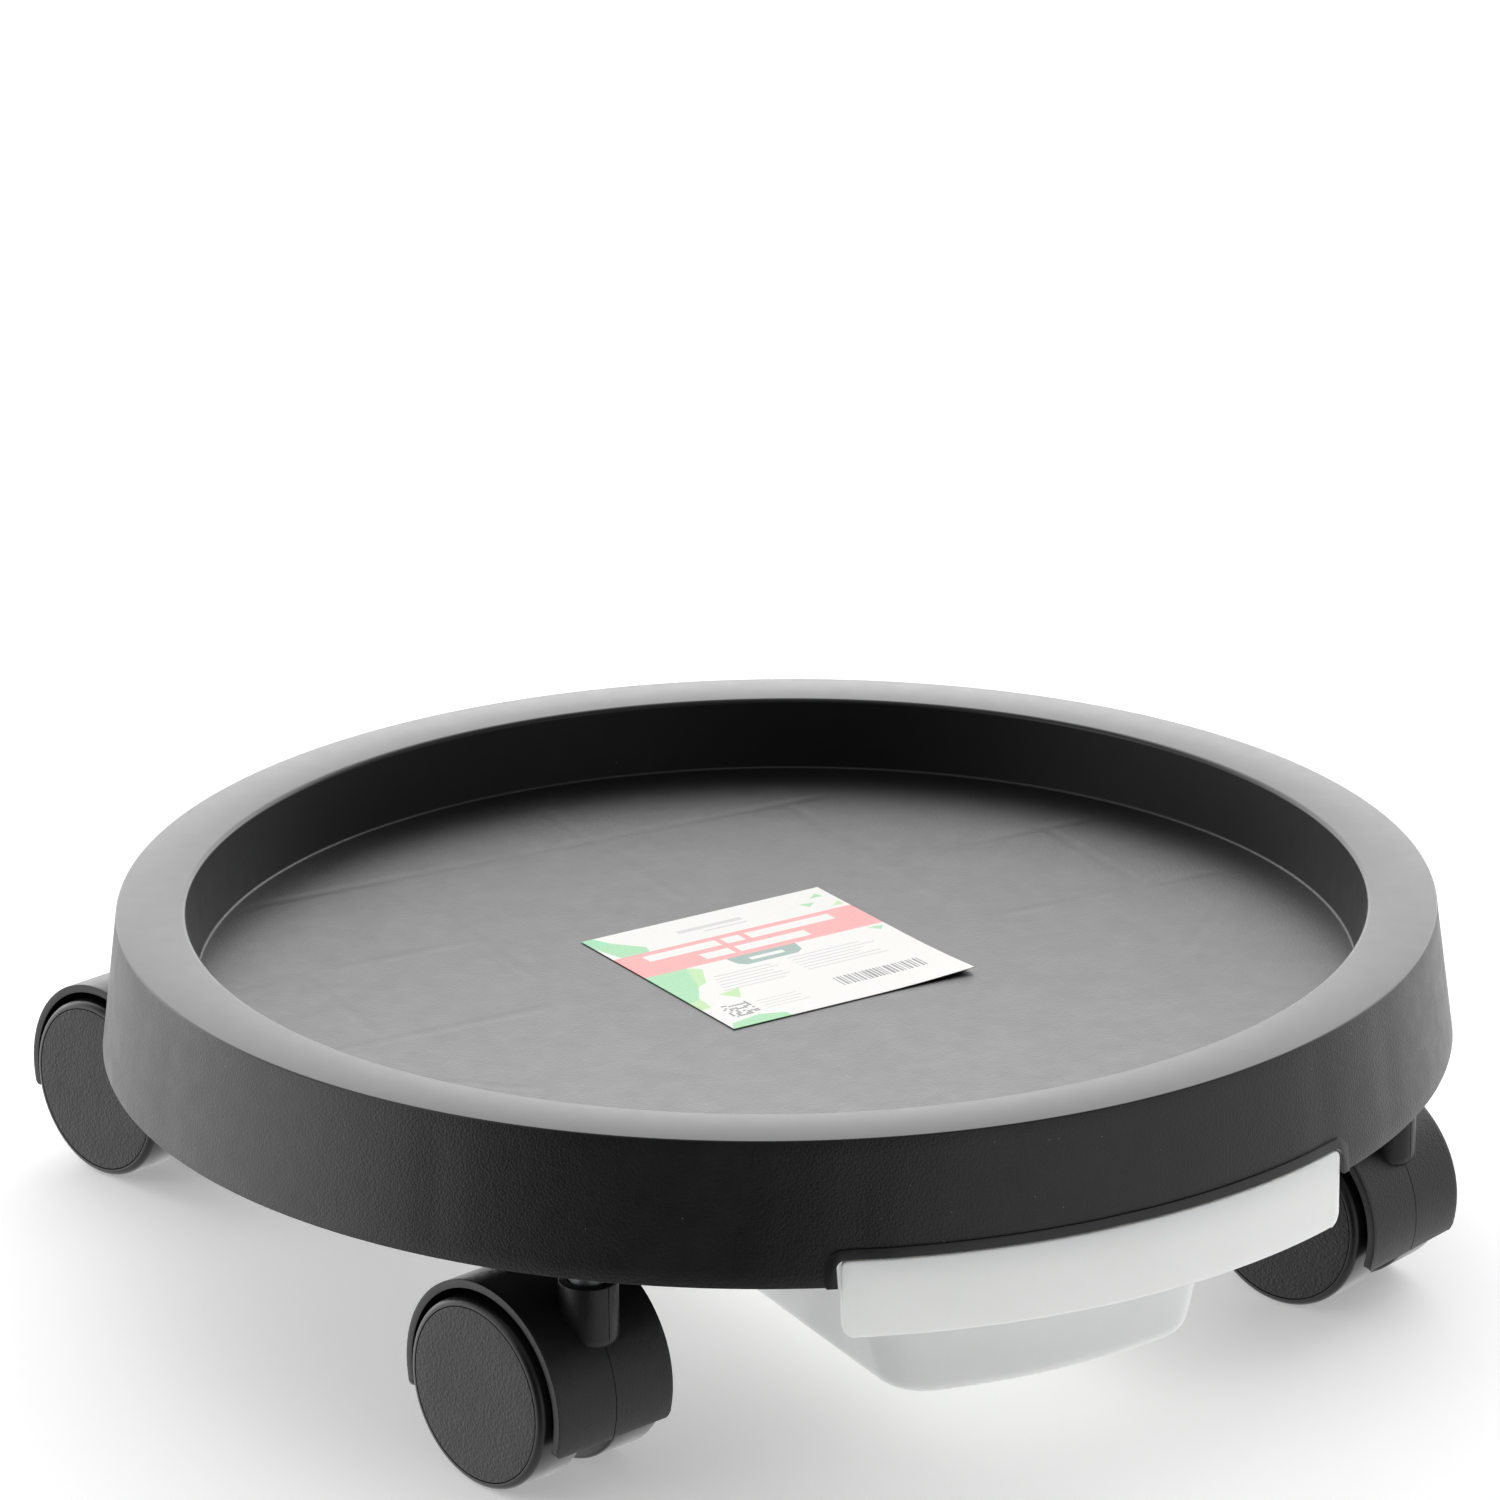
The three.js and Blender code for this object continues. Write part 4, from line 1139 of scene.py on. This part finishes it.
def label_design():
    """What is printed where, as shares of the sheet from its top left corner.

    It is a plain design of colour fields, rows of dashes in place of lines of words, bars and
    a square of dots. None of it can be read.
    """
    areas = [
        (CORAL_INK, rectangle(0, 0.215, 1, 0.425)),
        (DARK_LEAF_INK, [(0, 0), (0.045, 0.0), (0.08, 0.075), (0, 0.09)]),
        (LEAF_INK, [(0, 0.09), (0.08, 0.075), (0.165, 0.17), (0.15, 0.215), (0.035, 0.215)]),
        (LEAF_INK, [(0, 0.425), (0.17, 0.425), (0.11, 0.60), (0.05, 0.70), (0, 0.72)]),
        (LIGHT_LEAF_INK, [(0.17, 0.425), (0.215, 0.46), (0.155, 0.58), (0.11, 0.60)]),
        (LIGHT_LEAF_INK, [
            (0, 0.72), (0.05, 0.70), (0.115, 0.765), (0.045, 0.785), (0.03, 0.93), (0, 0.955)]),
        (LIGHT_LEAF_INK, [(0.13, 0.70), (0.225, 0.68), (0.18, 0.765)]),
        (LEAF_INK, [(0, 1), (0.02, 0.955), (0.145, 0.93), (0.235, 0.965), (0.24, 1)]),
        (PINE_INK, [
            (0.335, 0.425), (0.625, 0.425), (0.615, 0.485), (0.585, 0.51), (0.37, 0.51),
            (0.345, 0.485)]),
        (LEAF_INK, [(0.91, 0.085), (0.955, 0.05), (0.965, 0.085)]),
        (LEAF_INK, [(0.845, 0.115), (0.905, 0.125), (0.865, 0.155)]),
        (LIGHT_LEAF_INK, [(0.94, 0.19), (0.985, 0.155), (0.99, 0.19)]),
        (LEAF_INK, [(0.925, 0.44), (0.985, 0.45), (0.955, 0.48)]),
        (GREY_INK, rectangle(0.33, 0.10, 0.60, 0.125)),
        (GREY_INK, rectangle(0.42, 0.145, 0.60, 0.155)),
        (LABEL_PAPER, rectangle(0.41, 0.455, 0.55, 0.48)),
    ]
    # Two rows of broad dashes on the band.
    for top, bottom, dashes in (
            (0.245, 0.30, ((0.10, 0.40), (0.425, 0.50), (0.525, 0.88))),
            (0.335, 0.39, ((0.28, 0.40), (0.425, 0.72)))):
        areas += [(LABEL_PAPER, rectangle(left, top, right, bottom)) for left, right in dashes]
    # Rows of fine grey dashes, with ragged ends.
    for row in range(6):
        top = 0.545 + row * 0.026
        left_end = 0.44 + 0.02 * math.sin(row * 2.1)
        right_end = 0.82 + 0.05 * math.sin(row * 1.7)
        areas.append((GREY_INK, rectangle(0.205 - row * 0.008, top, left_end, top + 0.008)))
        areas.append((GREY_INK, rectangle(0.52, top - 0.01, right_end, top - 0.002)))
    for row in range(4):
        top = 0.82 + row * 0.024
        end = 0.37 + 0.015 * math.sin(row * 2.6)
        areas.append((GREY_INK, rectangle(0.205, top, end, top + 0.006)))
    # Upright bars of mixed widths.
    left = 0.545
    for bar in range(24):
        width = 0.005 + 0.004 * (math.sin(bar * 2.4) > 0.2) + 0.003 * (math.sin(bar * 5.1) > 0.5)
        areas.append((BLACK_INK, rectangle(left, 0.785, left + width, 0.865)))
        left += width + 0.006 + 0.004 * (math.cos(bar * 3.3) > 0.3)
    # A square of dots.
    cell = 0.0115
    areas.append((LABEL_PAPER, rectangle(0.05, 0.79, 0.185, 0.925)))
    for row in range(10):
        for column in range(10):
            if math.sin(row * 12.9 + column * 78.2) * 43.7 % 1 > 0.52:
                x, y = 0.06 + column * cell, 0.80 + row * cell
                areas.append((BLACK_INK, rectangle(x, y, x + cell * 0.9, y + cell * 0.9)))
    return areas


def make_label():
    """A square sticker, scored into printed areas, with one corner lifting off."""
    middle = (label_low + label_high) / 2
    label = start(
        "label_sticker", bpy.ops.mesh.primitive_plane_add, size=1,
        scale=(LABEL_WIDTH, LABEL_LENGTH, 1))
    inks = [
        LABEL_PAPER, CORAL_INK, LEAF_INK, LIGHT_LEAF_INK, DARK_LEAF_INK, PINE_INK, GREY_INK,
        BLACK_INK]
    for ink in inks:
        label.data.materials.append(ink)

    def spot(share_across, share_down):
        return Vector((
            (share_across - 0.5) * LABEL_WIDTH, (0.5 - share_down) * LABEL_LENGTH, 0))

    with editing(label):
        for share in range(1, 14):
            for place, normal in (
                    (spot(share / 14, 0), (1, 0, 0)), (spot(0, share / 14), (0, 1, 0))):
                bpy.ops.mesh.select_all(action="SELECT")
                bpy.ops.mesh.bisect(plane_co=place, plane_no=normal)
        bpy.ops.mesh.select_mode(type="FACE")
        for ink, corners in label_design():
            outline = [spot(*corner) for corner in corners]
            sides = list(zip(outline, outline[1:] + outline[:1]))
            x_low, x_high = min(p.x for p in outline), max(p.x for p in outline)
            y_low, y_high = min(p.y for p in outline), max(p.y for p in outline)

            def touched(face):
                xs = [v.co.x for v in face.verts]
                ys = [v.co.y for v in face.verts]
                return (
                    max(xs) > x_low + TINY and min(xs) < x_high - TINY
                    and max(ys) > y_low + TINY and min(ys) < y_high - TINY)

            for here, there in sides:
                with picking("FACE") as cage:
                    for face in cage.faces:
                        face.select = touched(face)
                run = (there - here).normalized()
                bpy.ops.mesh.bisect(
                    plane_co=here, plane_no=(run.y, -run.x, 0), threshold=mm(0.001))
            cage = bmesh.from_edit_mesh(label.data)
            for face in cage.faces:
                centre = face.calc_center_median()
                # Corners are listed clockwise, so the inside lies to the right of each side.
                if all((there - here).cross(centre - here).z <= 0 for here, there in sides):
                    face.material_index = inks.index(ink)
    lift_from = Vector((LABEL_WIDTH, -LABEL_LENGTH)) * 0.27
    for vertex in label.data.vertices:
        reach = (vertex.co.xy - lift_from).dot(Vector((1, -1)).normalized())
        if reach > 0:
            vertex.co.z += 2.2 * reach ** 2
    modify(label, "SOLIDIFY", thickness=LABEL_PAPER_THICK, offset=1)
    place = Matrix.Translation((middle.x, middle.y, label_low.z))
    placed(label, place @ Matrix.Rotation(LABEL_TURN, 4, "Z"))
    smooth(label, 30)
    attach(label, "tray_body")
    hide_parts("label")


# ---------------------------------------------------------------- studio

CAMERA_BEARING = math.radians(28.45)
CAMERA_HEIGHT = math.radians(20.419)
CAMERA_DISTANCE = mm(1545.3)
CAMERA_LENS = 174.4  # millimetres on a 36 mm sensor
CAMERA_YAW = math.radians(-0.194)
CAMERA_PITCH = math.radians(-1.107)
CAMERA_ROLL = math.radians(0.576)


def make_camera():
    target = Vector((0, 0, TRAY_TOP))
    level = Vector((-math.sin(CAMERA_BEARING), -math.cos(CAMERA_BEARING), 0))
    back = level * math.cos(CAMERA_HEIGHT) + Vector((0, 0, math.sin(CAMERA_HEIGHT)))
    right = Vector((math.cos(CAMERA_BEARING), -math.sin(CAMERA_BEARING), 0))
    upward = back.cross(right)
    aim = Matrix((right, upward, back)).transposed()
    lean = (
        Matrix.Rotation(CAMERA_ROLL, 3, "Z")
        @ Matrix.Rotation(CAMERA_PITCH, 3, "X")
        @ Matrix.Rotation(CAMERA_YAW, 3, "Y"))
    data = bpy.data.cameras.new("camera")
    data.lens = CAMERA_LENS
    data.sensor_width = 36
    data.clip_start = mm(50)
    data.clip_end = 50
    camera = bpy.data.objects.new("camera", data)
    bpy.context.scene.collection.objects.link(camera)
    place = Matrix.Translation(target + back * CAMERA_DISTANCE)
    camera.matrix_world = place @ (aim @ lean.transposed()).to_4x4()
    bpy.context.scene.camera = camera


def make_floor():
    """A sheet of white paper, lit a little from within so that shadows stay soft."""
    floor = start(
        "studio_floor", bpy.ops.mesh.primitive_plane_add, size=14, location=(0, 0, -mm(0.05)))
    material, tree, shader, _ = new_material("paper_backdrop_white")
    set_sockets(tree, shader, {
        "Base Color": linear(0xF4F4F4), "Roughness": 0.9, "Specular IOR Level": 0.1,
        "Emission Color": linear(0xFFFFFF), "Emission Strength": 0.32})
    floor.data.materials.append(material)
    floor.visible_glossy = False


def make_light():
    """A white surround, darker on the camera's side, and two soft boxes overhead."""
    scene = bpy.context.scene
    scene.view_settings.view_transform = "Standard"
    world = bpy.data.worlds.new("studio")
    scene.world = world
    world.use_nodes = True
    tree = world.node_tree
    tree.nodes.clear()
    direction = add_node(tree, "ShaderNodeTexCoord").outputs["Generated"]
    height = add_node(tree, "ShaderNodeSeparateXYZ", {"Vector": direction}).outputs["Z"]
    # Each fade follows the cosine to a level direction, given in degrees from straight behind
    # the object, or the height where there is none. It goes from low to high between two values.
    fades = {}
    for name, bearing, start_at, end_at, low, high in (
            ("room", -18, -0.99, -0.6, 0.02, 0.9),
            ("left_box", 82, 0.7, 0.98, 0.0, 1.1),
            ("backdrop", 0, 0.1, 0.65, 0.0, 2.7),
            ("overhead_dim", None, 0.0, 0.35, 1.0, 0.35),
            ("below_top", None, 0.7, 0.95, 1.0, 0.0),
            ("above_floor", None, -0.15, 0.12, 0.15, 1.0)):
        value = height
        if bearing is not None:
            angle = math.pi / 2 - CAMERA_BEARING + math.radians(bearing)
            value = add_node(tree, "ShaderNodeVectorMath", {
                0: direction, 1: (math.cos(angle), math.sin(angle), 0)},
                operation="DOT_PRODUCT").outputs["Value"]
        fades[name] = add_node(tree, "ShaderNodeMapRange", {
            "Value": value, "From Min": start_at, "From Max": end_at, "To Min": low,
            "To Max": high}, interpolation_type="SMOOTHSTEP").outputs["Result"]
    sides = add_node(tree, "ShaderNodeMath", {
        0: fades["room"], 1: fades["left_box"]}, operation="ADD")
    sides = add_node(tree, "ShaderNodeMath", {
        0: sides.outputs["Value"], 1: fades["overhead_dim"]}, operation="MULTIPLY")
    glow = add_node(tree, "ShaderNodeMath", {
        0: fades["backdrop"], 1: fades["below_top"]}, operation="MULTIPLY")
    glow = add_node(tree, "ShaderNodeMath", {
        0: glow.outputs["Value"], 1: fades["above_floor"], 2: sides.outputs["Value"]},
        operation="MULTIPLY_ADD")
    sky = add_node(tree, "ShaderNodeBackground", {
        "Color": (1, 1, 1, 1), "Strength": glow.outputs["Value"]})
    add_node(tree, "ShaderNodeOutputWorld", {"Surface": sky.outputs["Background"]})
    for name, place, size, power in (
            ("overhead_box", (0.2, 0.5, 1.9), 1.6, 3),
            ("left_box", (-1.6, 0.1, 0.9), 1.0, 3),
            ("right_box", (1.7, 0.4, 0.9), 1.0, 3)):
        data = bpy.data.lights.new(name, "AREA")
        data.shape = "SQUARE"
        data.size = size
        data.energy = power
        lamp = bpy.data.objects.new(name, data)
        scene.collection.objects.link(lamp)
        lamp.location = place
        lamp.rotation_mode = "QUATERNION"
        lamp.rotation_quaternion = (Vector((0, 0, 0.05)) - Vector(place)).to_track_quat("-Z", "Y")


make_camera()
make_tray()
make_drawer()
make_casters()
make_label()
make_floor()
make_light()
